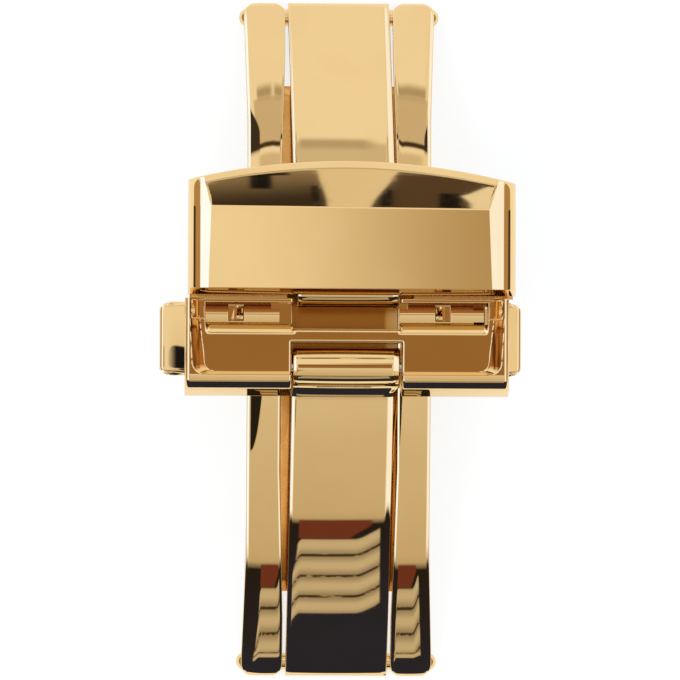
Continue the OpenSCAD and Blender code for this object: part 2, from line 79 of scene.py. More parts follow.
class Tree:
    """Adds and joins shader nodes."""

    def __init__(self, tree):
        self.tree = tree
        tree.nodes.clear()

    def add(self, kind, **inputs):
        node = self.tree.nodes.new(kind)
        for key, value in inputs.items():
            self.feed(node.inputs[key.replace("_", " ")], value)
        return node

    def feed(self, socket, value):
        if isinstance(value, bpy.types.NodeSocket):
            self.tree.links.new(value, socket)
        else:
            socket.default_value = value

    def math(self, op, a, b=0.0, clamp=False):
        node = self.tree.nodes.new("ShaderNodeMath")
        node.operation, node.use_clamp = op, clamp
        self.feed(node.inputs[0], a)
        self.feed(node.inputs[1], b)
        return node.outputs[0]

    def smooth(self, value, low, high, to_low=0.0, to_high=1.0):
        """A soft step from to_low at low to to_high at high."""
        node = self.tree.nodes.new("ShaderNodeMapRange")
        node.interpolation_type = "SMOOTHSTEP"
        for socket, v in zip(node.inputs, (value, low, high, to_low, to_high)):
            self.feed(socket, v)
        return node.outputs[0]

    def all_of(self, *masks):
        """The product of several masks."""
        value = masks[0]
        for more in masks[1:]:
            value = self.math("MULTIPLY", value, more)
        return value

    def mix(self, factor, a, b):
        """Colour b over colour a; a colour is a socket or a triple."""
        node = self.tree.nodes.new("ShaderNodeMix")
        node.data_type = "RGBA"
        self.feed(node.inputs[0], factor)
        for socket, colour in ((node.inputs[6], a), (node.inputs[7], b)):
            self.feed(socket, (*colour, 1.0) if isinstance(colour, tuple) else colour)
        return node.outputs[2]

    def mix_shaders(self, factor, a, b):
        node = self.tree.nodes.new("ShaderNodeMixShader")
        for socket, value in zip(node.inputs, (factor, a.outputs[0], b.outputs[0])):
            self.feed(socket, value)
        return node

    def ramp(self, value, stops):
        node = self.tree.nodes.new("ShaderNodeValToRGB")
        elements = node.color_ramp.elements
        while len(elements) < len(stops):
            elements.new(0.5)
        for element, (place, colour) in zip(elements, stops):
            element.position = place
            element.color = (*colour, 1.0)
        self.feed(node.inputs[0], value)
        return node.outputs[0]

    def noise(self, place, scale, detail, **inputs):
        node = self.add("ShaderNodeTexNoise", Vector=place, Scale=scale, Detail=detail, **inputs)
        return node.outputs[0]

    def split(self, vector):
        """The X, Y and Z sockets of a vector."""
        return self.add("ShaderNodeSeparateXYZ", Vector=vector).outputs

    def coordinates(self, kind):
        return self.add("ShaderNodeTexCoord").outputs[kind]

    def normal_on_piece(self):
        """The normal in the piece's own axes, split."""
        return self.split(self.coordinates("Normal"))


# Metals: polished gold for what one sees, steel for screws and stud, wire for the springs

GOLD = (0.87, 0.62, 0.3)
GOLD_DEEP = (0.85, 0.6, 0.28)
# Steep walls and undersides are less finely polished than the faces one sees
WALL_SATIN = 0.22
WALL_FROM, WALL_TO = 0.06, 0.2


def metal(name, colour, deep, roughness, wear, shade=None):
    """Polished metal: its tone drifts a little, and it has fine swirls and soft wear marks.

    shade(t, place) may add a second tone, a painted shade or painted reflection: it gives a mask, a colour
    and the roughness added there.
    """
    mat = bpy.data.materials.new(name)
    mat.use_nodes = True
    t = Tree(mat.node_tree)
    place = t.coordinates("Object")
    cloud = t.noise(place, 260.0, 3.0)
    swirl = t.noise(place, 2600.0, 4.0, Roughness=0.65)
    tone = t.mix(t.smooth(cloud, 0.35, 0.7), deep, colour)
    rough = t.math("ADD", roughness, t.math("MULTIPLY", t.smooth(swirl, 0.45, 0.8), wear))
    facing = t.split(t.add("ShaderNodeNewGeometry").outputs["Normal"])
    rough = t.math("ADD", rough, t.smooth(facing[2], WALL_FROM, WALL_TO, WALL_SATIN, 0.0))
    if shade:
        mask, second, rougher = shade(t, place)
        tone = t.mix(mask, tone, second)
        rough = t.math("ADD", rough, t.math("MULTIPLY", mask, rougher))
    shader = t.add("ShaderNodeBsdfPrincipled", Base_Color=tone, Roughness=rough, Metallic=1.0)
    t.add("ShaderNodeOutputMaterial", Surface=shader.outputs[0])
    return mat


def gold_metal(name, shade=None):
    return metal(name, GOLD, GOLD_DEEP, 0.02, 0.012, shade)


def streaks(t, place, along, across, dark, light):
    """Streaks between two tones; along and across say how fast they change on Y and on X and Z."""
    at = t.add("ShaderNodeMapping", Vector=place, Scale=(across[0], along, across[1])).outputs[0]
    return t.mix(t.smooth(t.noise(at, 1.0, 2.0), 0.38, 0.62), dark, light)


BY_SLOT = {
    "polished_gold": gold_metal("polished_gold"),
    "polished_steel": metal("polished_steel", (0.62, 0.6, 0.58), (0.56, 0.54, 0.52), 0.12, 0.08),
    "spring_steel": metal("spring_steel", (0.5, 0.5, 0.5), (0.42, 0.42, 0.43), 0.25, 0.1),
}
SLOT_OF = {row["node"]: row["material_slot"] for row in frame["record"]["subparts"]}
BODY_OF = {node: body for body, held in frame["record"]["behaviour"]["bodies"].items() for node in held}
for name, obj in nodes.items():
    obj.data.materials.clear()
    obj.data.materials.append(BY_SLOT[SLOT_OF[name]])

# Mesh builders


def add_object(name, data):
    obj = bpy.data.objects.new(name, data)
    scene.collection.objects.link(obj)
    return obj


def finish_piece(name, mesh, node, sharp=30.0, material=None):
    """Puts a finished mesh in the place of one CAD node, on that node's body and in its slot."""
    mesh.polygons.foreach_set("use_smooth", [True] * len(mesh.polygons))
    mesh.set_sharp_from_angle(angle=radians(sharp))
    mesh.materials.clear()
    mesh.materials.append(material or BY_SLOT[SLOT_OF[node]])
    obj = add_object(name, mesh)
    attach(obj, BODY_OF[node])
    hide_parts(node)


# Points closer than this, in metres, are one
SAME_POINT = 0.0000005


def mesh_from(name, points, faces):
    """A mesh from points in mm, with its faces turned outwards."""
    mesh = bpy.data.meshes.new(name)
    mesh.from_pydata([tuple(v * MM for v in p) for p in points], [], faces)
    bm = bmesh.new()
    bm.from_mesh(mesh)
    bmesh.ops.remove_doubles(bm, verts=bm.verts, dist=SAME_POINT)
    bmesh.ops.recalc_face_normals(bm, faces=bm.faces)
    bm.to_mesh(mesh)
    bm.free()
    return mesh


def cut(mesh, cutters):
    """The mesh less each cutter mesh, by exact booleans."""
    body = add_object("cut_body", mesh)
    tools = []
    for i, cutter in enumerate(cutters):
        tool = add_object(f"cut_tool_{i}", cutter)
        tools.append(tool)
        step = body.modifiers.new(f"cut_{i}", "BOOLEAN")
        step.operation, step.solver, step.object = "DIFFERENCE", "EXACT", tool
    bpy.context.view_layer.update()
    graph = bpy.context.evaluated_depsgraph_get()
    result = bpy.data.meshes.new_from_object(body.evaluated_get(graph))
    for obj in [body] + tools:
        bpy.data.objects.remove(obj)
    return result


def box_mesh(x, y, z):
    """A closed box from three (low, high) pairs in mm."""
    points = [(a, b, c) for a in x for b in y for c in z]
    faces = [(0, 1, 3, 2), (4, 6, 7, 5), (0, 4, 5, 1), (2, 3, 7, 6), (0, 2, 6, 4), (1, 5, 7, 3)]
    return mesh_from("box", points, faces)


def rod_mesh(radius, x0, x1, y, z, sides=40):
    """A closed round bar along X."""
    turns = [2 * pi * i / sides for i in range(sides)]
    points = [(x, y + radius * cos(a), z + radius * sin(a)) for x in (x0, x1) for a in turns]
    faces = [(i, (i + 1) % sides, sides + (i + 1) % sides, sides + i) for i in range(sides)]
    faces.append(tuple(range(sides)))
    faces.append(tuple(range(2 * sides - 1, sides - 1, -1)))
    return mesh_from("rod", points, faces)


def outward_normals(points):
    """The outward normal at each point of a closed outline that runs anticlockwise."""
    normals = []
    for i in range(len(points)):
        (y0, z0), (y1, z1) = points[i - 1], points[(i + 1) % len(points)]
        dy, dz = y1 - y0, z1 - z0
        length = hypot(dy, dz)
        normals.append((dz / length, -dy / length))
    return normals


def clamp(f):
    return max(0.0, min(1.0, f))


def lerp_stops(stops, f):
    """The value at f of a line through (place, value) stops."""
    if f <= stops[0][0]:
        return stops[0][1]
    for (f0, v0), (f1, v1) in zip(stops, stops[1:]):
        if f <= f1:
            return v0 + (v1 - v0) * (f - f0) / (f1 - f0)
    return stops[-1][1]


def across_profile(width, edges, tilts, under=0.08, steps=6, spans=24):
    """Rows across a bar: (share of its width, shift, depth on top, depth elsewhere), low side first.

    edges are the (width, depth) of the rounded long edge at the low and at the high side, under is the
    depth of both on the underside, and tilts says how the face between them leans, in degrees.
    """
    (low_wide, low_deep), (high_wide, high_deep) = edges
    depths, total = [], 0.0
    for i in range(spans + 1):
        depths.append(total)
        total += tan(radians(lerp_stops(tilts, (i + 0.5) / spans))) * width / spans
    least = min(depths)
    depths = [d - least for d in depths]
    turns = [pi / 2 * j / steps for j in range(steps)]
    rows = []
    for a in turns:
        fall = 1 - sin(a)
        rows.append((0.0, low_wide * (1 - cos(a)), depths[0] + low_deep * fall, under * fall))
    for i in range(spans + 1):
        g = i / spans
        rows.append((g, low_wide * (1 - g) - high_wide * g, depths[i], 0.0))
    for a in reversed(turns):
        fall = 1 - sin(a)
        rows.append((1.0, -high_wide * (1 - cos(a)), depths[-1] + high_deep * fall, under * fall))
    return rows


def slab(outline, x_low, x_high, rows, top_from=0.05, top_to=0.45):
    """Points and faces of an outline in Y, Z stretched between x_low(y) and x_high(y).

    A point counts as on top as its normal's Z rises from top_from to top_to.
    """
    normals = outward_normals(outline)
    n, points, faces = len(outline), [], []
    for share, shift, top, rest in rows:
        for (y, z), (ny, nz) in zip(outline, normals):
            w = clamp((nz - top_from) / (top_to - top_from))
            d = top * w + rest * (1 - w)
            x = x_low(y) + (x_high(y) - x_low(y)) * share + shift
            points.append((x, y - ny * d, z - nz * d))
    for k in range(len(rows) - 1):
        for i in range(n):
            j = (i + 1) % n
            faces.append((k * n + i, k * n + j, (k + 1) * n + j, (k + 1) * n + i))
    flat = [Vector((y, z, 0.0)) for y, z in outline]
    for tri in tessellate_polygon([flat]):
        faces.append(tuple(tri))
        faces.append(tuple((len(rows) - 1) * n + i for i in reversed(tri)))
    return points, faces


def join(*parts):
    """Several lists of points and faces as one."""
    points, faces = [], []
    for more_points, more_faces in parts:
        start = len(points)
        points += more_points
        faces += [tuple(start + i for i in face) for face in more_faces]
    return points, faces


def arc(cy, cz, r, a0, a1, steps):
    """Points on a circle in Y, Z from angle a0 to a1 in degrees, measured from +Y towards +Z."""
    return [
        (cy + r * cos(radians(a0 + (a1 - a0) * i / steps)),
         cz + r * sin(radians(a0 + (a1 - a0) * i / steps)))
        for i in range(steps + 1)
    ]


def mirror_y(outline):
    return [(-y, z) for y, z in reversed(outline)]


# Base: two rails, the web between them and its ears

RAIL_W = 2.2
RAIL_CORNER = 0.6
# How far the rails' outer and inner faces stand from the middle, by distance along the strap
RAIL_OUTER = [(13.0, 5.52), (HALF_L - 1, 5.75)]
RAIL_INNER = [(8.0, 3.52), (HALF_L - 2 * RAIL_T, 3.27)]
RAIL_EDGES = ((0.06, 0.06), (0.06, 0.06))
LEFT_TILTS = [
    (0, -14), (0.045, -14), (0.055, -5.5), (0.3, -3.2), (0.5, -1.0), (0.9, 1.2), (0.965, 1.8),
    (0.97, 14), (1, 14),
]
RIGHT_TILTS = [
    (0, -14), (0.03, -14), (0.035, -5.0), (0.12, -2.0), (0.17, -0.9), (0.5, 0.4), (0.75, 2.0),
    (0.93, 4.0), (0.94, 14), (1, 14),
]
# The ends are a little squarer than a half round
END_SWELL = 0.048

WEB_T, WEB_HALF, WEB_HALF_W, WEB_W = 0.63, 15.8, 3.75, 7.4
WEB_EDGES = ((0.02, 0.02), (0.02, 0.02))
# The web rises in a fillet towards each rail
WEB_TILTS = [
    (0, 20), (0.05, 14), (0.12, 11), (0.13, 0), (0.87, 0), (0.88, -11), (0.95, -14), (1, -20),
]
WEB_LOW_R = ARCH_R - RAIL_T
WEB_TOP_R = WEB_LOW_R + WEB_T

EAR_OUT, EAR_IN, EAR_Y, EAR_Z = 6.475, 5.3, (0.67, 2.3), (TOP_Z - RAIL_T + 0.1, TOP_Z - 0.35)
EAR_W, EAR_CHAMFER, EAR_ROUND = 1.2, 0.1, (0.12, 0.12)


def end_radius(tilt):
    """The radius of an arm's end from its pin, at a tilt from overhead in degrees."""
    swell = clamp((tilt - PIN_DEG) / (90 - PIN_DEG))
    return RAIL_T / 2 + END_SWELL * sin(pi * swell) ** 2


def rail_outline(steps=150, end_steps=36):
    top = arc(0, ARCH_Z, ARCH_R, 90 - PIN_DEG, 90 + PIN_DEG, steps)
    right = []
    for i in range(end_steps + 1):
        a = -90 - PIN_DEG + 180 * i / end_steps
        r, way = end_radius(90 - a), radians(a)
        right.append((PIN_Y + r * cos(way), PIN_Z + r * sin(way)))
    low = arc(0, ARCH_Z, ARCH_R - RAIL_T, 90 + PIN_DEG, 90 - PIN_DEG, steps)
    return top[:-1] + mirror_y(right)[:-1] + low[:-1] + right[:-1]


def corner_inset(y):
    past = abs(y) - (HALF_L - RAIL_CORNER)
    return 0.0 if past <= 0 else RAIL_CORNER - sqrt(max(0.0, RAIL_CORNER ** 2 - past ** 2))


def rail_out(y):
    return lerp_stops(RAIL_OUTER, abs(y)) - corner_inset(y)


def rail_in(y):
    return lerp_stops(RAIL_INNER, abs(y)) + corner_inset(y)


def rails():
    outline = rail_outline()
    left = across_profile(RAIL_W, RAIL_EDGES, LEFT_TILTS, spans=80)
    right = across_profile(RAIL_W, RAIL_EDGES, RIGHT_TILTS, spans=80)
    return [
        slab(outline, lambda y: -rail_out(y), lambda y: -rail_in(y), left),
        slab(outline, rail_in, rail_out, right),
    ]


def web():
    ends = degrees(asin(WEB_HALF / ARCH_R))
    top = arc(0, ARCH_Z, WEB_TOP_R, 90 - ends, 90 + ends, 90)
    low = arc(0, ARCH_Z, WEB_LOW_R, 90 + ends, 90 - ends, 90)
    rows = across_profile(WEB_W, WEB_EDGES, WEB_TILTS, steps=2, spans=72)
    return slab(top + low, lambda y: -WEB_HALF_W, lambda y: WEB_HALF_W, rows)


def ears():
    (y0, y1), (z0, z1), c = EAR_Y, EAR_Z, EAR_CHAMFER
    outline = [(y1, z0), (y1, z1 - c), (y1 - c, z1), (y0 + c, z1), (y0, z1 - c), (y0, z0)]
    rows = across_profile(EAR_W, (EAR_ROUND, EAR_ROUND), [(0, 0), (1, 0)], under=EAR_ROUND[1], spans=2)
    return [
        slab(outline, lambda y: -EAR_OUT, lambda y: -EAR_IN, rows),
        slab(outline, lambda y: EAR_IN, lambda y: EAR_OUT, rows),
    ]


def web_painted_shade(t, place):
    """Painted reflection and painted shade on the channel's floor, which is also rougher and so duller than
    the rails: its colour is painted redder, as of the gold walls mirrored in it, and darker most of all in
    the middle, as painted shade between and under the knuckles.
    """
    x, y, z = t.split(place)
    aside, along = t.math("ABSOLUTE", x), t.math("ABSOLUTE", y)
    up = t.math("SUBTRACT", z, ARCH_Z * MM)
    radius = t.math("SQRT", t.math("ADD", t.math("POWER", along, 2.0), t.math("POWER", up, 2.0)))
    floor_only = t.all_of(
        t.smooth(radius, (WEB_TOP_R - 0.4) * MM, (WEB_TOP_R - 0.3) * MM),
        t.smooth(radius, (WEB_TOP_R + 0.15) * MM, (WEB_TOP_R + 0.25) * MM, 1.0, 0.0),
        t.smooth(aside, (WEB_HALF_W + 0.05) * MM, (WEB_HALF_W + 0.1) * MM, 1.0, 0.0),
    )
    # Painted shade: darkest in the middle, where the knuckles close over the floor
    middle = t.smooth(along, 1.2 * MM, 7.5 * MM, 1.0, 0.0)
    # Painted reflection of the gold walls: streaked orange towards the ends
    ends = streaks(t, place, 500.0, (900.0, 900.0), (0.78, 0.4, 0.12), (0.88, 0.48, 0.15))
    return floor_only, t.mix(middle, ends, (0.4, 0.17, 0.03)), 0.2


# The rails' polish runs flatter than their arch: their top normals follow a wider circle
POLISH_R, POLISH_END = 40.0, 19.0
POLISH_X = (3.0, 6.0)
POLISH_UP = (0.1, 0.3)
# Towards +Y the polish also leans outwards, and near the channel a little more
OUTWARD, OUTWARD_Y = radians(4.5), (6.0, 9.0)
INNER_SPLAY, INNER_X = radians(3.0), (3.55, 4.0)


def part_way(value, span):
    return (value - span[0]) / (span[1] - span[0])


def flatten_polish(mesh):
    """Turns the rails' corner normals; the mesh's own points stay."""
    normals = []
    for loop, corner in zip(mesh.loops, mesh.corner_normals):
        n = Vector(corner.vector)
        spot = mesh.vertices[loop.vertex_index].co / MM
        aside = abs(spot.x)
        if POLISH_X[0] < aside < POLISH_X[1] and n.z > POLISH_UP[0]:
            y = max(-POLISH_END, min(POLISH_END, spot.y))
            turn = asin(y / POLISH_R) - asin(y / ARCH_R)
            share = min(1.0, part_way(n.z, POLISH_UP)) * min(1.0, (HALF_L - abs(spot.y)) / 1.5)
            n = Matrix.Rotation(-turn * share, 3, "X") @ n
            inner = max(0.0, 1.0 - part_way(aside, INNER_X))
            splay = (OUTWARD + INNER_SPLAY * inner) * share * clamp(part_way(spot.y, OUTWARD_Y))
            n = Matrix.Rotation(copysign(splay, spot.x), 3, "Y") @ n
        normals.append(n.normalized())
    mesh.normals_split_custom_set(normals)


base_mesh = mesh_from("base", *join(*rails(), web(), *ears()))
# The base's gold carries the painted reflection and painted shade of the channel's floor
base_gold = gold_metal("polished_gold_base", web_painted_shade)
finish_piece("rails_and_web", base_mesh, "base_frame", material=base_gold)
flatten_polish(base_mesh)

# Blades

BLADE_T = 1.12
BLADE_IN = ARCH_R - BLADE_T
BLADE_HALF = 3.07
# How far past the knuckle's middle the arm's top and its underside end, and its neck widens
STEP_PAST, UNDER_PAST, NECK_PAST = 1.85, 1.2, (1.3, 1.6)
ROLL_FOOT = 0.85
# The knuckle's top is flatter than a circle
ROLL_POWER = 2.5
ROLL_SWEEP = 216.87
# The ramp from the arm's top to the roll: (distance past the roll, height over the arm)
ROLL_RAMP = [
    (0.55, 0.06), (0.45, 0.13), (0.36, 0.2), (0.27, 0.27), (0.18, 0.345), (0.1, 0.42), (0.03, 0.5),
    (0.0, 0.58),
]
BLADE_TILTS = [
    (0, -15), (0.018, -15), (0.024, -2.6), (0.12, -1.6), (0.5, 0.1), (0.88, 1.6), (0.95, 2.3),
    (0.957, 15), (1, 15),
]
BLADE_EDGES = ((0.07, 0.07), (0.07, 0.07))


def knuckle_roll(y_k, r, steps=60):
    points = []
    for i in range(steps + 1):
        a = radians(ROLL_SWEEP * i / steps)
        power = ROLL_POWER if sin(a) > 0 else 2
        k = (abs(cos(a)) ** power + abs(sin(a)) ** power) ** (-1 / power)
        points.append((y_k + r * k * cos(a), KNUCKLE_Z + r * k * sin(a)))
    return points


def end_eye(eye_from, steps=30):
    """The arm's round end about its hinge pin, from its underside to its top."""
    points = []
    for i in range(steps + 1):
        a = radians(eye_from * (1 - i / steps))
        r = end_radius(PIN_DEG + degrees(a))
        along, out = sin(a) * r, cos(a) * r
        points.append((
            PIN_Y + out * sin(PIN_A) + along * cos(PIN_A),
            PIN_Z + out * cos(PIN_A) - along * sin(PIN_A),
        ))
    return points


def blade_outline(y_k, r):
    """A blade towards +Y: its arm's top, the step, the rolled knuckle, its underside and its eye."""
    a_step = degrees(asin((y_k + STEP_PAST) / ARCH_R))
    top = arc(0, ARCH_Z, ARCH_R, 90 - PIN_DEG, 90 - a_step, 110)
    foot_z = top[-1][1]
    rise = [(y_k + r + out, foot_z + up) for out, up in ROLL_RAMP]
    a_under = degrees(asin((y_k + UNDER_PAST) / BLADE_IN))
    eye_from = 360 - degrees(acos(-(MID_R - BLADE_IN) / (RAIL_T / 2)))
    side = sin(radians(eye_from)) * RAIL_T / 2
    a_eye = PIN_DEG + degrees(side / BLADE_IN)
    under = arc(0, ARCH_Z, BLADE_IN, 90 - a_under, 90 - a_eye, 80)
    foot = [(y_k - ROLL_FOOT, ARCH_Z + BLADE_IN)]
    return top + rise + knuckle_roll(y_k, r) + foot + under[:-1] + end_eye(eye_from)[:-1]


def blade(node, sign, y_k, r, skew, knuckle_half, knuckle_x):
    """A blade towards sign * Y; skew is how far its arm leans towards +X at the knuckle."""

    def side(y, s):
        place = abs(y) if y * sign > 0 else -abs(y)
        lean = skew * (PIN_Y - place) / (PIN_Y - y_k)
        wide = s * BLADE_HALF + min(lean, skew)
        narrow = s * knuckle_half + knuckle_x
        return lerp_stops([(y_k + NECK_PAST[0], narrow), (y_k + NECK_PAST[1], wide)], place)

    outline = blade_outline(y_k, r)
    if sign < 0:
        outline = mirror_y(outline)
    rows = across_profile(2 * BLADE_HALF, BLADE_EDGES, BLADE_TILTS, spans=80)
    mesh = mesh_from(node, *slab(outline, lambda y: side(y, -1), lambda y: side(y, 1), rows))
    finish_piece(node + "_polished", mesh, node)


blade("upper_blade", 1, UPPER_KNUCKLE_Y, UPPER_KNUCKLE_R, 0.48, 3.03, 0.52)
blade("lower_blade", -1, LOWER_KNUCKLE_Y, LOWER_KNUCKLE_R, 0.26, 3.185, 0.415)

# Bodies with a top and an underside over a grid

# Grid lines closer than this, in mm, are one
SAME_LINE = 0.0004
TABLE_STEP = 0.005


def lines(*spans):
    """Sorted grid lines from (low, high, step) spans."""
    found = []
    for low, high, step in spans:
        count = max(1, round((high - low) / step))
        found += [low + (high - low) * i / count for i in range(count + 1)]
    found.sort()
    kept = [found[0]]
    for v in found[1:]:
        if v - kept[-1] > SAME_LINE:
            kept.append(v)
    return kept


def relief(us, vs, top, under, place=lambda u, v: (u, v), holds=lambda u, v: True):
    """Points and faces of a body between the heights top(x, y) and under(x, y).

    It has the cells of the grid us, vs that holds(u, v) keeps; place(u, v) gives a point's x and y.
    """
    spots = [[place(u, v) for v in vs] for u in us]
    nu, nv = len(us) - 1, len(vs) - 1
    kept = [[holds((us[i] + us[i + 1]) / 2, (vs[j] + vs[j + 1]) / 2) for j in range(nv)] for i in range(nu)]
    points, faces, index = [], [], {}

    def at(i, j, level):
        key = (i, j, level)
        if key not in index:
            x, y = spots[i][j]
            index[key] = len(points)
            points.append((x, y, (top if level else under)(x, y)))
        return index[key]

    def held(i, j):
        return 0 <= i < nu and 0 <= j < nv and kept[i][j]

    for i in range(nu):
        for j in range(nv):
            if not kept[i][j]:
                continue
            faces.append((at(i, j, 1), at(i + 1, j, 1), at(i + 1, j + 1, 1), at(i, j + 1, 1)))
            faces.append((at(i, j, 0), at(i, j + 1, 0), at(i + 1, j + 1, 0), at(i + 1, j, 0)))
            for (di, dj), (a, b) in {
                (-1, 0): ((i, j), (i, j + 1)), (1, 0): ((i + 1, j + 1), (i + 1, j)),
                (0, -1): ((i + 1, j), (i, j)), (0, 1): ((i, j + 1), (i + 1, j + 1)),
            }.items():
                if not held(i + di, j + dj):
                    faces.append((at(*a, 1), at(*b, 1), at(*b, 0), at(*a, 0)))
    return points, faces


def edge_drop(distance, r):
    """How far a rounded edge of radius r lies below the face, at a distance from the edge."""
    if distance >= r:
        return 0.0
    return r - sqrt(max(0.0, r * r - (r - max(0.0, distance)) ** 2))


def soft_min(a, b, k):
    """The lower of a and b, rounded over a reach of k where they meet."""
    h = clamp(0.5 + (b - a) / (2 * k))
    return b + (a - b) * h - k * h * (1 - h)


def soft_max(a, b, k):
    return -soft_min(-a, -b, k)


def ease(x, low, high):
    """A soft step from 0 at low to 1 at high."""
    f = clamp((x - low) / (high - low))
    return f * f * (3 - 2 * f)


def fall_table(stops, length):
    """Heights lost along a profile whose tilt in degrees follows (distance, tilt) stops."""
    table, total = [0.0], 0.0
    for i in range(int(length / TABLE_STEP)):
        total += tan(radians(lerp_stops(stops, (i + 0.5) * TABLE_STEP))) * TABLE_STEP
        table.append(total)
    return table


def fall_at(table, distance):
    """The height that a fall_table has lost at a distance from its start."""
    i = max(0.0, distance / TABLE_STEP)
    k = min(int(i), len(table) - 2)
    return table[k] + (table[k + 1] - table[k]) * min(1.0, i - k)


def outside(rect, x, y):
    """How far a point is outside a rectangle (x0, x1, y0, y1)."""
    x0, x1, y0, y1 = rect
    return hypot(max(x0 - x, 0.0, x - x1), max(y0 - y, 0.0, y - y1))


def both_sides(spans):
    """The same grid lines on both sides of the middle."""
    return spans + [(-high, -low, step) for low, high, step in spans]


def shifted(points, x):
    return [(px + x, y, z) for px, y, z in points]


# Catch box

BOX_HALF, BOX_FRONT, BOX_BACK = 9.7, 2.28, 3.56
FLOOR = BOX_Z + 2.2
PLATE_T = 0.4
BACK_LOW, BACK_TOE = BOX_Z + 1.05, 2.28
SLOT_X, SLOT_Y = (3.05, 8.45), (0.78, 2.03)
NOTCH_A = (-3.2, 3.2, 0.42, 9.0)
NOTCH_B = (-3.3, 3.3, -9.0, -0.36)
LIP_ROUND, NOTCH_ROUND, RIM_ROUND, FRONT_ROUND = 0.06, 0.16, 0.3, 0.07
HOLES = [
    ((-SLOT_X[1], -SLOT_X[0], *SLOT_Y), LIP_ROUND), ((*SLOT_X, *SLOT_Y), LIP_ROUND),
    (NOTCH_A, NOTCH_ROUND), (NOTCH_B, NOTCH_ROUND),
]

# The recess: its floor's edge and its rim, by distance along the strap
FOOT_X = [(-1.9, 8.5), (1.3, 8.88)]
RIM_X = [(-2.0, 9.2), (1.3, 9.38)]
FOOT_Y, FOOT_CORNER, BACK_WALL_W = 2.1, 0.5, 0.2
# Shallow pockets in the front corners beside the slots, and the scooped lower lips of the slots
POCKET_DEPTH = 0.32
SCOOP_Y, SCOOP_DEPTH, SCOOP_POWER = 0.12, 0.4, 1.5
# The back rim: a broad crown, a tighter shoulder and a steep drafted wall
BACK_FROM = 2.27
back_fall = fall_table([
    (0, 0.5), (0.15, 6), (0.42, 19), (0.44, 32), (0.83, 44.5), (0.85, 58), (0.92, 66), (1.02, 73),
    (1.3, 76),
], 1.3)

# Inside: the guides of the bars, the pockets of the buttons and the bores of springs and strap bar
BAR_Y = 1.405
GUIDE_X, GUIDE_HALF, GUIDE_Z = (3.1, 9.05), 0.71, (BOX_Z + 0.2, BOX_Z + 1.56)
BUTTON_Y, BUTTON_Z = -0.14, BOX_Z + 1.115
POCKET_X, POCKET_HALF, POCKET_Z = (8.05, 12), 2.26, (BOX_Z + 0.2, BOX_Z + 1.83)
SPRING_X, SPRING_Y, SPRING_Z, SPRING_R = (5.0, 8.5), -0.65, BOX_Z + 1.1, 0.65
BOX_BORE_Y, BOX_BORE_Z = BAR_Y + 0.15, BOX_Z + 2.75


def recess_floor(ax, y):
    """Height of the tray's floor and of the walls that rise from it to the rim."""
    foot_x = lerp_stops(FOOT_X, y)
    rim_x = lerp_stops(RIM_X, y)
    qx, qy = ax - (foot_x - FOOT_CORNER), -y - (FOOT_Y - FOOT_CORNER)
    if qx > 0 and qy > 0:
        far = hypot(qx, qy) - FOOT_CORNER
        share = qx * qx / (qx * qx + qy * qy)
    else:
        far = max(qx, qy) - FOOT_CORNER
        share = 1.0 if qx > qy else 0.0
    wide = (rim_x - foot_x) * share + BACK_WALL_W * (1 - share)
    wall = FLOOR + far / wide * (BOX_TOP - FLOOR)
    return soft_max(FLOOR, soft_min(wall, BOX_TOP, 0.05), 0.06)


def pocket_drop(ax, y):
    across = ease(ax, 8.5, 8.6) * (1 - ease(ax, 9.2, 9.36))
    return POCKET_DEPTH * (across * ease(y, 1.0, 1.12) * (1 - ease(y, 2.12, 2.24)))


def scoop_drop(ax, y):
    x0, x1 = SLOT_X
    if y >= SLOT_Y[0] + 0.01 or not x0 - 0.1 < ax < x1 + 0.1:
        return 0.0
    ends = ease(ax, x0 - 0.05, x0 + 0.25) * (1 - ease(ax, x1 - 0.25, x1 + 0.05))
    f = clamp((y - SCOOP_Y) / (SLOT_Y[0] - SCOOP_Y))
    return SCOOP_DEPTH * ends * (f ** SCOOP_POWER)


def box_top(x, y):
    ax = abs(x)
    z = recess_floor(ax, y) - pocket_drop(ax, y) - scoop_drop(ax, y)
    for rect, r in HOLES:
        z -= edge_drop(outside(rect, x, y), r)
    z -= edge_drop(BOX_HALF - ax, RIM_ROUND)
    z -= edge_drop(BOX_FRONT - y, FRONT_ROUND)
    past = -y - BACK_FROM
    return z if past <= 0 else z - fall_at(back_fall, past)


def box_under(x, y):
    chamfer = BOX_Z + (BACK_LOW - BOX_Z) * (-BACK_TOE - y) / (BOX_BACK - BACK_TOE)
    return min(max(BOX_Z + PLATE_T, chamfer), box_top(x, y) - 0.002)


def box_holds(x, y):
    return min(outside(rect, x, y) for rect, _ in HOLES) > 0


def box_wall_painted_reflection(t, place):
    """Painted reflection on the recess's slanted side walls: they are painted with lengthwise streaks in
    darker browns, standing in for what the polished walls mirror.
    """
    x, _, z = t.normal_on_piece()
    aside = t.math("ABSOLUTE", x)
    slanted = t.all_of(
        t.smooth(aside, 0.6, 0.75), t.smooth(aside, 0.89, 0.93, 1.0, 0.0), t.smooth(z, 0.2, 0.3),
    )
    return slanted, streaks(t, place, 260.0, (3600.0, 900.0), (0.2, 0.08, 0.035), (0.87, 0.56, 0.25)), 0.06


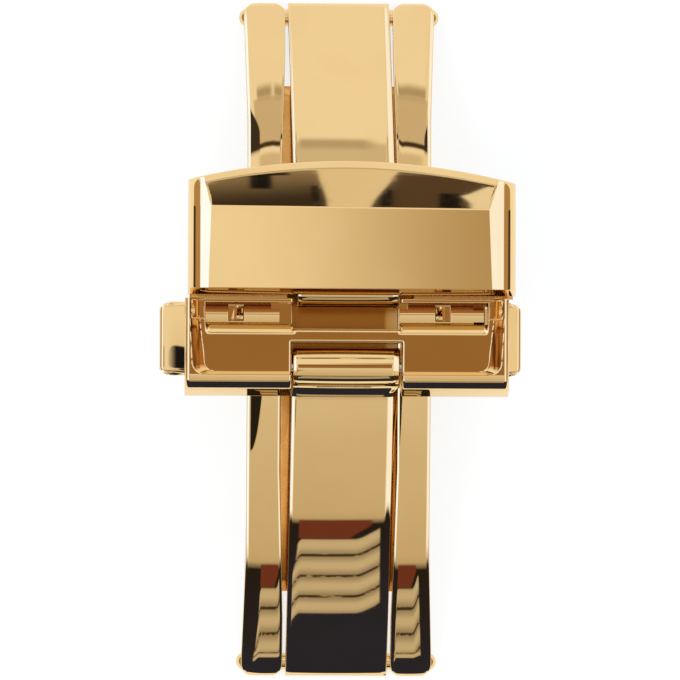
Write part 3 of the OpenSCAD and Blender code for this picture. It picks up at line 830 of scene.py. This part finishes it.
def catch_box():
    us = lines(
        (-BOX_HALF, BOX_HALF, 0.6),
        *both_sides([
            (8.1, BOX_HALF, 0.05), (BOX_HALF - RIM_ROUND, BOX_HALF - 0.08, 0.02),
            (BOX_HALF - 0.08, BOX_HALF, 0.008), (8.35, 8.65, 0.025),
            (SLOT_X[0] - 0.1, SLOT_X[0], 0.02), (SLOT_X[0], SLOT_X[0] + 0.3, 0.05),
            (NOTCH_A[1], NOTCH_A[1] + NOTCH_ROUND + 0.02, 0.022),
            (NOTCH_B[1], NOTCH_B[1] + NOTCH_ROUND + 0.02, 0.022),
        ]),
    )
    vs = lines(
        (-BOX_BACK, -2.9, 0.015), (-2.9, -1.9, 0.03), (-1.9, -1.35, 0.03), (-1.35, BOX_FRONT, 0.3),
        (NOTCH_B[3], NOTCH_B[3] + NOTCH_ROUND + 0.02, 0.022),
        (NOTCH_A[2] - NOTCH_ROUND - 0.02, NOTCH_A[2], 0.022),
        (SCOOP_Y - 0.05, SLOT_Y[0], 0.03), (SLOT_Y[0] - 0.08, SLOT_Y[0], 0.015),
        (SLOT_Y[1], SLOT_Y[1] + 0.08, 0.015), (0.98, 1.14, 0.02), (2.1, BOX_FRONT, 0.018),
    )
    points, faces = relief(us, vs, box_top, box_under, holds=box_holds)
    tools = [rod_mesh(TIP_R, *RIGHT_THROUGH, BOX_BORE_Y, BOX_BORE_Z)]
    for s in (-1, 1):
        guide_x, pocket_x, spring_x = [sorted((s * a, s * b)) for a, b in (GUIDE_X, POCKET_X, SPRING_X)]
        tools.append(box_mesh(guide_x, (BAR_Y - GUIDE_HALF, BAR_Y + GUIDE_HALF), GUIDE_Z))
        tools.append(box_mesh(pocket_x, (BUTTON_Y - POCKET_HALF, BUTTON_Y + POCKET_HALF), POCKET_Z))
        tools.append(rod_mesh(SPRING_R, *spring_x, SPRING_Y, SPRING_Z))
    mesh = cut(mesh_from("catch_box", shifted(points, BOX_PLAY), faces), tools)
    # The box's gold carries painted reflection streaks on the recess's slanted walls
    material = gold_metal("polished_gold_box", box_wall_painted_reflection)
    finish_piece("catch_box_polished", mesh, "catch_box", sharp=40, material=material)


catch_box()

# Cover plate

COVER_HALF, COVER_FRONT, COVER_CREASE, COVER_END = 9.82, 2.5, 7.7, 10.52
COVER_EDGE_R = 40.0
COVER_T, TUNNEL_HALF, FRONT_WALL = 0.75, 8.9, 0.95
# The cover's foot clears the rails' arch by this much
FOOT_GAP = 0.3
FIELD_SLOPE, FACET_SLOPE = tan(radians(3)), tan(radians(15))
# Where the flat field ends and the bevel beside it begins, on either side
LEFT_FACET = [(COVER_FRONT, 8.58), (COVER_CREASE, 8.42), (9.4, 8.85)]
RIGHT_FACET = [(COVER_FRONT, 8.4), (COVER_CREASE, 8.2), (9.4, 8.75)]
CROWN, CROWN_HALF = 0.026, 8.4
FRONT_DROP, FRONT_RUN = 0.9, 0.35
CREASE_ROUND, FRONT_CORNER = 0.012, 0.06
END_TILTS = (16.5, 18.5)
END_BEVEL, END_BEVEL_SHARE = 0.5, 0.34
# The rounded long edges, on top of the bevel's own lean
FACET_OUT = 9.05
edge_fall = fall_table(
    [
        (0, 0), (0.03, 10), (0.1, 19.6), (0.34, 29.7), (0.44, 35), (0.5, 39), (0.6, 58), (0.7, 75),
        (0.77, 82.8),
    ],
    COVER_HALF - FACET_OUT,
)
end_fall = fall_table([(0, END_TILTS[0]), (2.3, END_TILTS[1]), (3.0, END_TILTS[1])], 3.0)

# The grid runs as it is to GRID_STRAIGHT, and from there on to the arched far edge at GRID_END
GRID_STRAIGHT, GRID_END = 8.3, 10.0
# The cover sits turned a little on its pin, as the photograph shows it
COVER_TURN = 0.0095
# The room for the upper blade's knuckle, and the bore for the strap bar
KNUCKLE_ROOM_X, KNUCKLE_ROOM_Y, KNUCKLE_ROOM_R = (-3.13, 4.49), (0.0, 5.95), 1.32
STRAP_BAR_Y, STRAP_BAR_Z = 8.3, TOP_Z + 0.635
# A thin lip along the foot of the front wall closes the view between the cover and the catch box
LIP_Y, LIP_T, LIP_HALF = (2.3, 2.6), 0.12, COVER_HALF - 0.12


def cover_end(x):
    return COVER_END - COVER_EDGE_R + sqrt(COVER_EDGE_R ** 2 - x * x)


def side_drop(x, y):
    ax = abs(x)
    inner = lerp_stops(LEFT_FACET if x < 0 else RIGHT_FACET, y)
    crown = CROWN * (ax / CROWN_HALF) ** 2 * CROWN_HALF / 2
    fall = soft_max(0.0, (ax - inner) * FACET_SLOPE, CREASE_ROUND)
    return crown + fall + (fall_at(edge_fall, ax - FACET_OUT) if ax > FACET_OUT else 0.0)


def cover_top(x, y):
    field = BOX_TOP - (y - COVER_FRONT) * FIELD_SLOPE
    crease_z = BOX_TOP - (COVER_CREASE - COVER_FRONT) * FIELD_SLOPE
    past = y - COVER_CREASE
    end = crease_z - (fall_at(end_fall, past) if past > 0 else past * tan(radians(END_TILTS[0])))
    z = soft_min(field, end, CREASE_ROUND) - side_drop(x, y)
    z -= edge_drop(cover_end(x) - y, END_BEVEL) * END_BEVEL_SHARE
    front = BOX_TOP - FRONT_DROP + (y - COVER_FRONT) * FRONT_DROP / FRONT_RUN - side_drop(x, y)
    return soft_min(z, front, FRONT_CORNER)


def cover_foot(y):
    return ARCH_Z + sqrt((ARCH_R + FOOT_GAP) ** 2 - y * y)


def cover_under(x, y):
    tunnel = abs(x) < TUNNEL_HALF - 0.0005 and y > COVER_FRONT + FRONT_WALL + 0.0005
    if not tunnel:
        return min(cover_foot(y), cover_top(x, y) - 0.05)
    return max(cover_foot(y), cover_top(x, y) - COVER_T)


def cover_place(u, v):
    if v <= GRID_STRAIGHT:
        return u, v
    share = (v - GRID_STRAIGHT) / (GRID_END - GRID_STRAIGHT)
    return u, GRID_STRAIGHT + (cover_end(u) - GRID_STRAIGHT) * share


def cover_body():
    us = lines(
        (-COVER_HALF, COVER_HALF, 0.5),
        *both_sides([
            (8.1, 8.95, 0.02), (TUNNEL_HALF - 0.001, TUNNEL_HALF, 0.001),
            (FACET_OUT - 0.03, FACET_OUT + 0.03, 0.015),
            (FACET_OUT, COVER_HALF - 0.15, 0.03), (COVER_HALF - 0.15, COVER_HALF - 0.02, 0.01),
            (COVER_HALF - 0.02, COVER_HALF, 0.0025),
        ]),
    )
    wall = COVER_FRONT + FRONT_WALL
    vs = lines(
        (COVER_FRONT, GRID_END, 0.3), (COVER_FRONT, 2.7, 0.04), (2.7, 3.0, 0.01),
        (wall, wall + 0.001, 0.001), (COVER_CREASE - 0.07, COVER_CREASE + 0.07, 0.01),
        (9.4, GRID_END, 0.03), (9.92, GRID_END, 0.008),
    )
    points, faces = relief(us, vs, cover_top, cover_under, cover_place)
    points = [
        (x + COVER_PLAY, y - COVER_TURN * x * (0.25 + 0.75 * ease(y, 3.0, 5.0)), z) for x, y, z in points
    ]
    tools = [
        rod_mesh(KNUCKLE_ROOM_R, *KNUCKLE_ROOM_X, UPPER_KNUCKLE_Y, KNUCKLE_Z, 64),
        box_mesh(KNUCKLE_ROOM_X, KNUCKLE_ROOM_Y, (0.0, KNUCKLE_Z)),
        rod_mesh(SMALL_PIN_R, *RIGHT_THROUGH, UPPER_KNUCKLE_Y, KNUCKLE_Z, 24),
        rod_mesh(TIP_R, *RIGHT_THROUGH, STRAP_BAR_Y, STRAP_BAR_Z, 32),
    ]
    return cut(mesh_from("cover_body", points, faces), tools)


def cover_lip():
    points, faces = relief(
        lines((-LIP_HALF, LIP_HALF, 0.5)), lines((*LIP_Y, 0.1)),
        lambda x, y: cover_foot(y) + LIP_T, lambda x, y: cover_foot(y),
    )
    room = box_mesh(KNUCKLE_ROOM_X, KNUCKLE_ROOM_Y, (0.0, KNUCKLE_Z))
    return cut(mesh_from("cover_lip", shifted(points, COVER_PLAY), faces), [room])


def merged(name, *meshes):
    bm = bmesh.new()
    for m in meshes:
        bm.from_mesh(m)
    mesh = bpy.data.meshes.new(name)
    bm.to_mesh(mesh)
    bm.free()
    return mesh


finish_piece("cover_polished", merged("cover_polished", cover_body(), cover_lip()), "cover_plate", sharp=12)

# Plunger bars

BAR_HALF, BAR_IN, BAR_OUT = 0.66, 3.6, 8.65
BAR_LOW = BOX_Z + 0.45
BAR_TOP = BAR_LOW + 1.06
BAR_HIGH = 0.09
BAR_ROUND, WINDOW_ROUND = 0.06, 0.05
WINDOW_X, WINDOW_HALF_W, WINDOW_HALF_L = 6.2, 0.455, 0.475
RELIEF_X, RELIEF_Y = 4.1, 1.66
# From its front edge: a gentle rise to the ridge and a steeper fall behind it
bar_fall = fall_table(
    [(0, -16), (0.45, -5), (0.62, 0), (0.68, 19.8), (1.1, 23.0), (1.24, 26), (1.32, 38)], 1.32,
)


def bar_top(x, y):
    z = BAR_TOP - BAR_HIGH - fall_at(bar_fall, y - BAR_Y + BAR_HALF)
    from_window = max(abs(abs(x) - WINDOW_X) - WINDOW_HALF_W, abs(y - BAR_Y) - WINDOW_HALF_L)
    z -= edge_drop(max(0.0, from_window), WINDOW_ROUND)
    return z - edge_drop(BAR_HALF - abs(y - BAR_Y), BAR_ROUND)


def bar_holds(x, y):
    if abs(abs(x) - WINDOW_X) < WINDOW_HALF_W and abs(y - BAR_Y) < WINDOW_HALF_L:
        return False
    return not (abs(x) < RELIEF_X and y > RELIEF_Y)


def bar_painted_reflection(t, place):
    """Painted reflection: the ridge's far side is painted redder, as the brown of the cover's end wall
    mirrored in it.
    """
    return t.smooth(t.normal_on_piece()[1], 0.3, 0.37), (0.5, 0.23, 0.1), 0.1


def edge_lines(edge, way):
    """Fine grid lines beside an edge, on the side that way (1 or -1) names."""
    return (*sorted((edge, edge + way * 0.06)), 0.012)


def bar(side, material):
    name = "plunger_left" if side < 0 else "plunger_right"
    us = lines(
        (BAR_IN, BAR_OUT, 0.2), edge_lines(WINDOW_X - WINDOW_HALF_W, -1),
        edge_lines(WINDOW_X + WINDOW_HALF_W, 1), (RELIEF_X - 0.02, RELIEF_X, 0.02),
    )
    vs = lines(
        (BAR_Y - BAR_HALF, BAR_Y + BAR_HALF, 0.03), (RELIEF_Y - 0.02, RELIEF_Y, 0.02),
        edge_lines(BAR_Y - BAR_HALF, 1), edge_lines(BAR_Y + BAR_HALF, -1),
        edge_lines(BAR_Y - WINDOW_HALF_L, -1), edge_lines(BAR_Y + WINDOW_HALF_L, 1),
    )
    points, faces = relief(us, vs, bar_top, lambda x, y: BAR_LOW, lambda u, v: (side * u, v), bar_holds)
    finish_piece(name + "_polished", mesh_from(name, points, faces), name, material=material)


# The bars' gold carries a painted reflection on the ridge's far side
bar_gold = gold_metal("polished_gold_bars", bar_painted_reflection)
for side in (-1, 1):
    bar(side, bar_gold)

# Buttons

BUTTON_IN, BUTTON_HALF_L, BUTTON_HALF_H = 8.7, 2.21, 0.665
BUTTON_CORNER_R, BUTTON_FACE_R = 0.3, 0.5
BUTTON_EDGES = ((0.02, 0.02), (0.26, 0.22))
BUTTON_TILTS = [(0, 4.5), (0.5, 5.0), (1, 7.0)]
CAP_CROWN = 0.09
BUTTON_REACH = {-1: 10.78, 1: 10.88}


def button_outline():
    """The cap's section in Y, Z: rounded corners, straight sides in short pieces, a crowned top."""
    y, z, r = BUTTON_HALF_L - BUTTON_CORNER_R, BUTTON_HALF_H - BUTTON_CORNER_R, BUTTON_CORNER_R
    corners = []
    for cy, cz, a0 in ((y, z, 0), (-y, z, 90), (-y, -z, 180), (y, -z, 270)):
        corners += arc(BUTTON_Y + cy, BUTTON_Z + cz, r, a0, a0 + 90, 8)
    filled = []
    for i, (y0, z0) in enumerate(corners):
        y1, z1 = corners[(i + 1) % len(corners)]
        pieces = max(1, int(hypot(y1 - y0, z1 - z0) / 0.12))
        filled += [(y0 + (y1 - y0) * k / pieces, z0 + (z1 - z0) * k / pieces) for k in range(pieces)]
    return [
        (y, z - (CAP_CROWN * ((y - BUTTON_Y) / BUTTON_HALF_L) ** 2 if z > BUTTON_Z else 0.0))
        for y, z in filled
    ]


def button(side):
    """A cap with a soft crown on top and rounded edges all round, and its shank in the pocket."""

    def reach(y):
        past = abs(y - BUTTON_Y) - (BUTTON_HALF_L - BUTTON_FACE_R)
        inset = 0.0 if past <= 0 else BUTTON_FACE_R - sqrt(max(0.0, BUTTON_FACE_R ** 2 - past * past))
        return BUTTON_REACH[side] - inset

    name = "button_left" if side < 0 else "button_right"
    rows = across_profile(BUTTON_REACH[side] - BUTTON_IN, BUTTON_EDGES, BUTTON_TILTS, under=0.14, steps=8)
    points, faces = slab(button_outline(), lambda y: BUTTON_IN, reach, rows, top_from=0.0, top_to=0.5)
    mesh = mesh_from(name, [(side * x, y, z) for x, y, z in points], faces)
    finish_piece(name + "_polished", mesh, name)


for side in (-1, 1):
    button(side)

# Edges of the CAD pieces that are still seen

WELD = 0.000002
ROUNDED = {"bottom_plate": 0.00004, "catch_post_left": 0.00003, "catch_post_right": 0.00003}


def soften(obj, width):
    """Rounds a CAD piece's sharp edges with modifiers; its own mesh stays as it is."""
    flatten = obj.modifiers.new("flatten", "DECIMATE")
    flatten.decimate_type = "DISSOLVE"
    flatten.angle_limit = radians(0.6)
    bevel = obj.modifiers.new("bevel", "BEVEL")
    bevel.width = width
    bevel.segments = 3
    bevel.limit_method = "ANGLE"
    bevel.angle_limit = radians(28)
    normals = obj.modifiers.new("normals", "WEIGHTED_NORMAL")
    normals.keep_sharp = True
    normals.weight = 100


for name, obj in nodes.items():
    if obj.hide_render:
        continue
    for p in obj.data.polygons:
        p.use_smooth = True
    obj.modifiers.new("weld", "WELD").merge_threshold = WELD
    if name in ROUNDED:
        soften(obj, ROUNDED[name])
    else:
        obj.modifiers.new("split", "EDGE_SPLIT").split_angle = radians(30)

# Stage: a grey floor with a glow that only the camera and the mirrors see

FLOOR_Z = -0.00002


def floor_material():
    mat = bpy.data.materials.new("floor")
    mat.use_nodes = True
    t = Tree(mat.node_tree)
    tone = t.mix(t.noise(t.coordinates("Object"), 40.0, 2.0), (0.36, 0.36, 0.36), (0.34, 0.34, 0.34))
    diffuse = t.add("ShaderNodeBsdfDiffuse", Color=tone)
    rays = t.add("ShaderNodeLightPath").outputs
    seen = t.math("MAXIMUM", rays["Is Camera Ray"], rays["Is Glossy Ray"])
    seen = t.math("MAXIMUM", seen, rays["Is Transmission Ray"])
    dark = t.add("ShaderNodeEmission", Strength=0.0)
    glow = t.add("ShaderNodeEmission", Color=(0.95, 0.98, 1.0, 1.0), Strength=0.72)
    both = t.add("ShaderNodeAddShader")
    t.feed(both.inputs[0], diffuse.outputs[0])
    t.feed(both.inputs[1], t.mix_shaders(seen, dark, glow).outputs[0])
    t.add("ShaderNodeOutputMaterial", Surface=both.outputs[0])
    return mat


def floor_panel(half):
    mesh = bpy.data.meshes.new("floor")
    corners = [(-half, -half, 0), (half, -half, 0), (half, half, 0), (-half, half, 0)]
    mesh.from_pydata(corners, [], [(0, 1, 2, 3)])
    mesh.materials.append(floor_material())
    obj = add_object("floor", mesh)
    obj.location.z = FLOOR_Z


floor_panel(1.5)

# The studio that the gold mirrors. It is painted on the world in degrees from overhead: v towards +Y
# and u towards +X. A mask is 1 where its colour goes.

world = bpy.data.worlds.new("studio")
scene.world = world
world.use_nodes = True
t = Tree(world.node_tree)
way = t.coordinates("Generated")
way_x, way_y, way_z = t.split(way)
DEG = 180 / pi
v = t.math("MULTIPLY", t.math("ARCTAN2", way_y, way_z), DEG)
u = t.math("MULTIPLY", t.math("ARCSINE", way_x), DEG)


def shifted_by(edge, by):
    return edge + by if isinstance(edge, (int, float)) else t.math("ADD", edge, by)


def band(value, low, high, soft=0.2):
    """1 between low and high, with soft ends; an end is a number or a socket."""
    up = t.smooth(value, shifted_by(low, -soft), shifted_by(low, soft))
    down = t.smooth(value, shifted_by(high, -soft), shifted_by(high, soft), 1.0, 0.0)
    return t.math("MULTIPLY", up, down)


def patch(tone, u_band, v_band, colour):
    """Paints where both bands hold; a band is (low, high, softness)."""
    return t.mix(t.all_of(band(v, *v_band), band(u, *u_band)), tone, colour)


OVERHEAD = [
    (-90, (0.025, 0.03, 0.07)), (-64, (0.025, 0.028, 0.06)), (-40.2, (0.02, 0.017, 0.018)),
    (-39.3, (0.66, 0.6, 0.5)), (-20, (0.72, 0.68, 0.6)), (-8, (0.8, 0.77, 0.72)), (8, (1.0, 0.98, 0.94)),
    (30, (1.0, 1.0, 1.0)),
]


def paint_overhead():
    """The plain tones from the horizon in front, over the top, to the horizon behind."""
    turn = t.math("DIVIDE", t.math("ADD", v, 180.0), 360.0)
    return t.ramp(turn, [((a + 180) / 360, c) for a, c in OVERHEAD])


def paint_window(tone):
    """The window with its slatted blind, low in front, and the reddish shelf over it."""
    slat_pitch = 5.05
    bend = t.math("ADD", t.smooth(u, 2.2, 4.6, 0.0, 2.5), t.smooth(u, -5.0, -2.2, -4.0, 0.0))
    bent = t.math("SUBTRACT", v, bend)
    in_slat = t.math("MODULO", t.math("ADD", bent, 149.2), slat_pitch)
    slat = t.math("ABSOLUTE", t.math("SUBTRACT", in_slat, slat_pitch / 2))
    gap = t.all_of(t.smooth(slat, 2.0, 2.4), t.smooth(t.noise(way, 55.0, 2.0), 0.36, 0.5))
    blind = t.mix(t.smooth(slat, 0.3, 2.2, 0.0, 0.75), (0.64, 0.62, 0.58), (0.3, 0.27, 0.23))
    blind = t.mix(gap, blind, (0.05, 0.035, 0.025))
    left_end = t.smooth(v, -62.0, -45.0, -4.9, -3.1)
    window = t.all_of(band(bent, -62.6, -44.4, 0.25), band(u, left_end, 4.5))
    tone = t.mix(window, tone, blind)
    shelf_end = t.smooth(v, -44.4, -40.5, 1.9, 3.6)
    return patch(tone, (-3.0, shelf_end, 0.25), (-44.2, -39.9, 0.25), (0.17, 0.05, 0.035))


def paint_post(tone):
    """A dark post in front at the left, which widens upwards."""
    low, high = -19.4, -8.6
    up = t.math("DIVIDE", t.math("ADD", v, -low), high - low, clamp=True)
    right_end = t.math("ADD", t.math("MULTIPLY", t.math("POWER", up, 0.55), 8.6), -11.4)
    return patch(tone, (-11.6, right_end, 0.4), (low, high, 0.5), (0.02, 0.018, 0.018))


def paint_case(tone):
    """The grey case behind: darker round its lower edge and corners."""
    tone = patch(tone, (-5.0, 5.0, 0.15), (35.0, 45.0, 0.7), (0.72, 0.69, 0.64))
    tone = patch(tone, (-3.6, 3.2, 0.8), (43.6, 45.8, 0.8), (0.55, 0.51, 0.44))
    return t.mix(band(v, 30.0, 34.4, 0.6), tone, (0.74, 0.7, 0.64))


# Short black marks on the case's front, as (from u, to u, from v, to v)
MARKS = [
    (-1.6, -0.3, 37.9, 38.3), (-1.24, -0.72, 36.5, 38.1), (0.2, 0.38, 35.3, 36.9),
    (1.84, 2.08, 34.9, 36.6), (3.2, 3.72, 34.7, 36.3),
]


def paint_front(tone):
    """The case's dark front, which the cover's sloping end mirrors, a pale sheet and a lit corner."""
    across = t.smooth(t.math("ADD", v, t.math("MULTIPLY", u, -0.35)), 35.2, 40.2)
    front = t.mix(across, (0.045, 0.035, 0.03), (0.42, 0.35, 0.28))
    tone = patch(tone, (-3.4, 5.2, 0.05), (34.0, 38.75, 0.12), front)
    tone = patch(tone, (2.1, 5.0, 0.3), (34.0, 38.2, 0.15), (0.1, 0.072, 0.055))
    for u0, u1, v0, v1 in MARKS:
        tone = patch(tone, (u0, u1, 0.06), (v0, v1, 0.12), (0.012, 0.012, 0.014))
    sheet_left, sheet_right = t.smooth(v, 34.9, 39.0, 0.55, 0.34), t.smooth(v, 33.9, 39.6, 1.55, 2.3)
    tone = patch(tone, (sheet_left, sheet_right, 0.03), (33.5, 39.6, 0.1), (0.86, 0.82, 0.74))
    corner_left, corner_top = t.smooth(v, 35.0, 36.6, 3.95, 3.62), t.smooth(u, 3.6, 4.9, 36.0, 38.1)
    return patch(tone, (corner_left, 5.2, 0.06), (33.5, corner_top, 0.1), (0.95, 0.95, 0.95))


def paint_rig(tone):
    """The camera and its rig overhead, reddish behind, the fall-off to its right and a dark spot."""
    rig = t.mix(t.smooth(v, 1.6, 3.6), (0.35, 0.198, 0.082), (0.27, 0.115, 0.05))
    tone = patch(tone, (-6.0, 7.0, 1.5), (-1.6, 5.4, 0.8), rig)
    fall_off = t.all_of(band(v, 5.4, 10.5, 0.8), t.smooth(u, -2.4, 5.2))
    tone = t.mix(fall_off, tone, (0.52, 0.42, 0.28))
    distance = 0.0
    for value, middle, half in ((u, -12.4, 2.3), (v, -4.5, 3.7)):
        off = t.math("ABSOLUTE", t.math("DIVIDE", t.math("ADD", value, -middle), half))
        distance = t.math("ADD", distance, t.math("POWER", off, 3.0))
    return t.mix(t.smooth(distance, 0.75, 1.15), (0.012, 0.012, 0.02), tone)


def paint_sides(tone):
    """Bright strips at both sides."""
    lit = t.smooth(v, -42.0, -38.0)
    for mask, colour in (
        (t.smooth(u, -16.0, -12.0, 1.0, 0.0), (1.0, 1.0, 1.0)), (t.smooth(u, 12.0, 16.0), (0.95, 0.92, 0.84)),
        (band(u, -42.0, -22.0, 2.0), (1.15, 1.6, 2.9)), (band(u, 22.0, 42.0, 2.0), (1.15, 1.35, 2.0)),
    ):
        tone = t.mix(t.all_of(mask, lit), tone, colour)
    return tone


def paint_rails_case(tone, u0, u1, foot, dark, high):
    """The case once more, further out, where the rails mirror it, with its black feet and outer sides."""
    tone = patch(tone, (u0, u1, 0.6), (36.0, 45.2, 0.4), (0.68, 0.63, 0.55))
    tone = patch(tone, (u0 + 2.0, u1 - 1.6, 0.8), (45.0, 47.4, 1.0), (0.5, 0.45, 0.37))
    tone = patch(tone, (*foot, 0.3), (35.6, 36.6, 0.3), (0.06, 0.04, 0.025))
    return patch(tone, (*dark, 0.4), (35.4, high, 0.9), (0.05, 0.04, 0.035))


def paint_horizon(tone):
    """Brown near the horizon at the sides, with a dark skirting."""
    aside = t.math("ABSOLUTE", u)
    tone = t.mix(t.smooth(aside, 50.0, 56.0), tone, (0.5, 0.33, 0.18))
    return t.mix(band(aside, 79.0, 85.0, 1.0), tone, (0.05, 0.035, 0.03))


tone = paint_overhead()
for step in (paint_window, paint_post, paint_case, paint_front, paint_rig, paint_sides):
    tone = step(tone)
left_dark = (-20.8, t.smooth(v, 38.5, 45.0, -13.4, -18.5))
right_dark = (t.smooth(v, 37.5, 42.5, 15.2, 17.6), 19.0)
tone = paint_rails_case(tone, -16.0, -5.6, (-20.8, -5.6), left_dark, 45.0)
tone = paint_rails_case(tone, 5.3, 16.4, (5.3, 18.6), right_dark, 42.5)
tone = paint_horizon(tone)

# Mirrors see the painting, the camera sees white, and other rays get even light
WHITE = (1.0, 1.0, 1.0, 1.0)
rays = t.add("ShaderNodeLightPath").outputs
painting = t.add("ShaderNodeBackground", Color=tone, Strength=1.0)
even = t.add("ShaderNodeBackground", Color=WHITE, Strength=0.9)
white = t.add("ShaderNodeBackground", Color=WHITE, Strength=1.0)
mirrored = t.mix_shaders(rays["Is Glossy Ray"], even, painting)
studio = t.mix_shaders(rays["Is Camera Ray"], mirrored, white)
t.add("ShaderNodeOutputWorld", Surface=studio.outputs[0])


def soft_lamp(name, place, size, watts):
    lamp = bpy.data.lights.new(name, "AREA")
    lamp.shape, lamp.size, lamp.energy = "SQUARE", size, watts
    obj = add_object(name, lamp)
    obj.location = place
    obj.rotation_mode = "QUATERNION"
    obj.rotation_quaternion = (-Vector(place)).to_track_quat("-Z", "Y")
    obj.visible_glossy = False


soft_lamp("key", (-0.45, -0.35, 0.9), 0.6, 2.2)
soft_lamp("fill", (0.5, 0.3, 0.8), 0.7, 1.2)

# Camera: overhead, at the photograph's scale, and turned a little as it was there

PHOTO_PX = 680
PX_PER_MM = 16.5
AIM_PX = (337.3, 339.5)
AIM_Z = 0.9 * MM
CAMERA_DISTANCE = 800 * MM
CAMERA_YAW = radians(0.8)
CAMERA_PITCH = radians(1.0)
CAMERA_ROLL = radians(0.27)
SENSOR = 36.0

camera_data = bpy.data.cameras.new("camera")
camera_data.sensor_fit = "HORIZONTAL"
camera_data.sensor_width = SENSOR
camera_data.lens = SENSOR * (CAMERA_DISTANCE / MM) / (PHOTO_PX / PX_PER_MM)
camera_data.clip_start, camera_data.clip_end = 0.05, 10.0
camera = scene.camera = add_object("camera", camera_data)
back = Vector((-sin(CAMERA_YAW), -sin(CAMERA_PITCH), 1.0)).normalized()
right = (Vector((1, 0, 0)) - back * back.x).normalized()
up = back.cross(right)
turn = Matrix((right, up, back)).transposed().to_quaternion()
camera.rotation_mode = "QUATERNION"
camera.rotation_quaternion = Matrix.Rotation(CAMERA_ROLL, 3, back).to_quaternion() @ turn
shift_x = (PHOTO_PX / 2 - AIM_PX[0]) / PX_PER_MM * MM
shift_y = (AIM_PX[1] - PHOTO_PX / 2) / PX_PER_MM * MM
camera.location = Vector((0, 0, AIM_Z)) + back * CAMERA_DISTANCE + right * shift_x + up * shift_y

scene.view_settings.view_transform = "Standard"
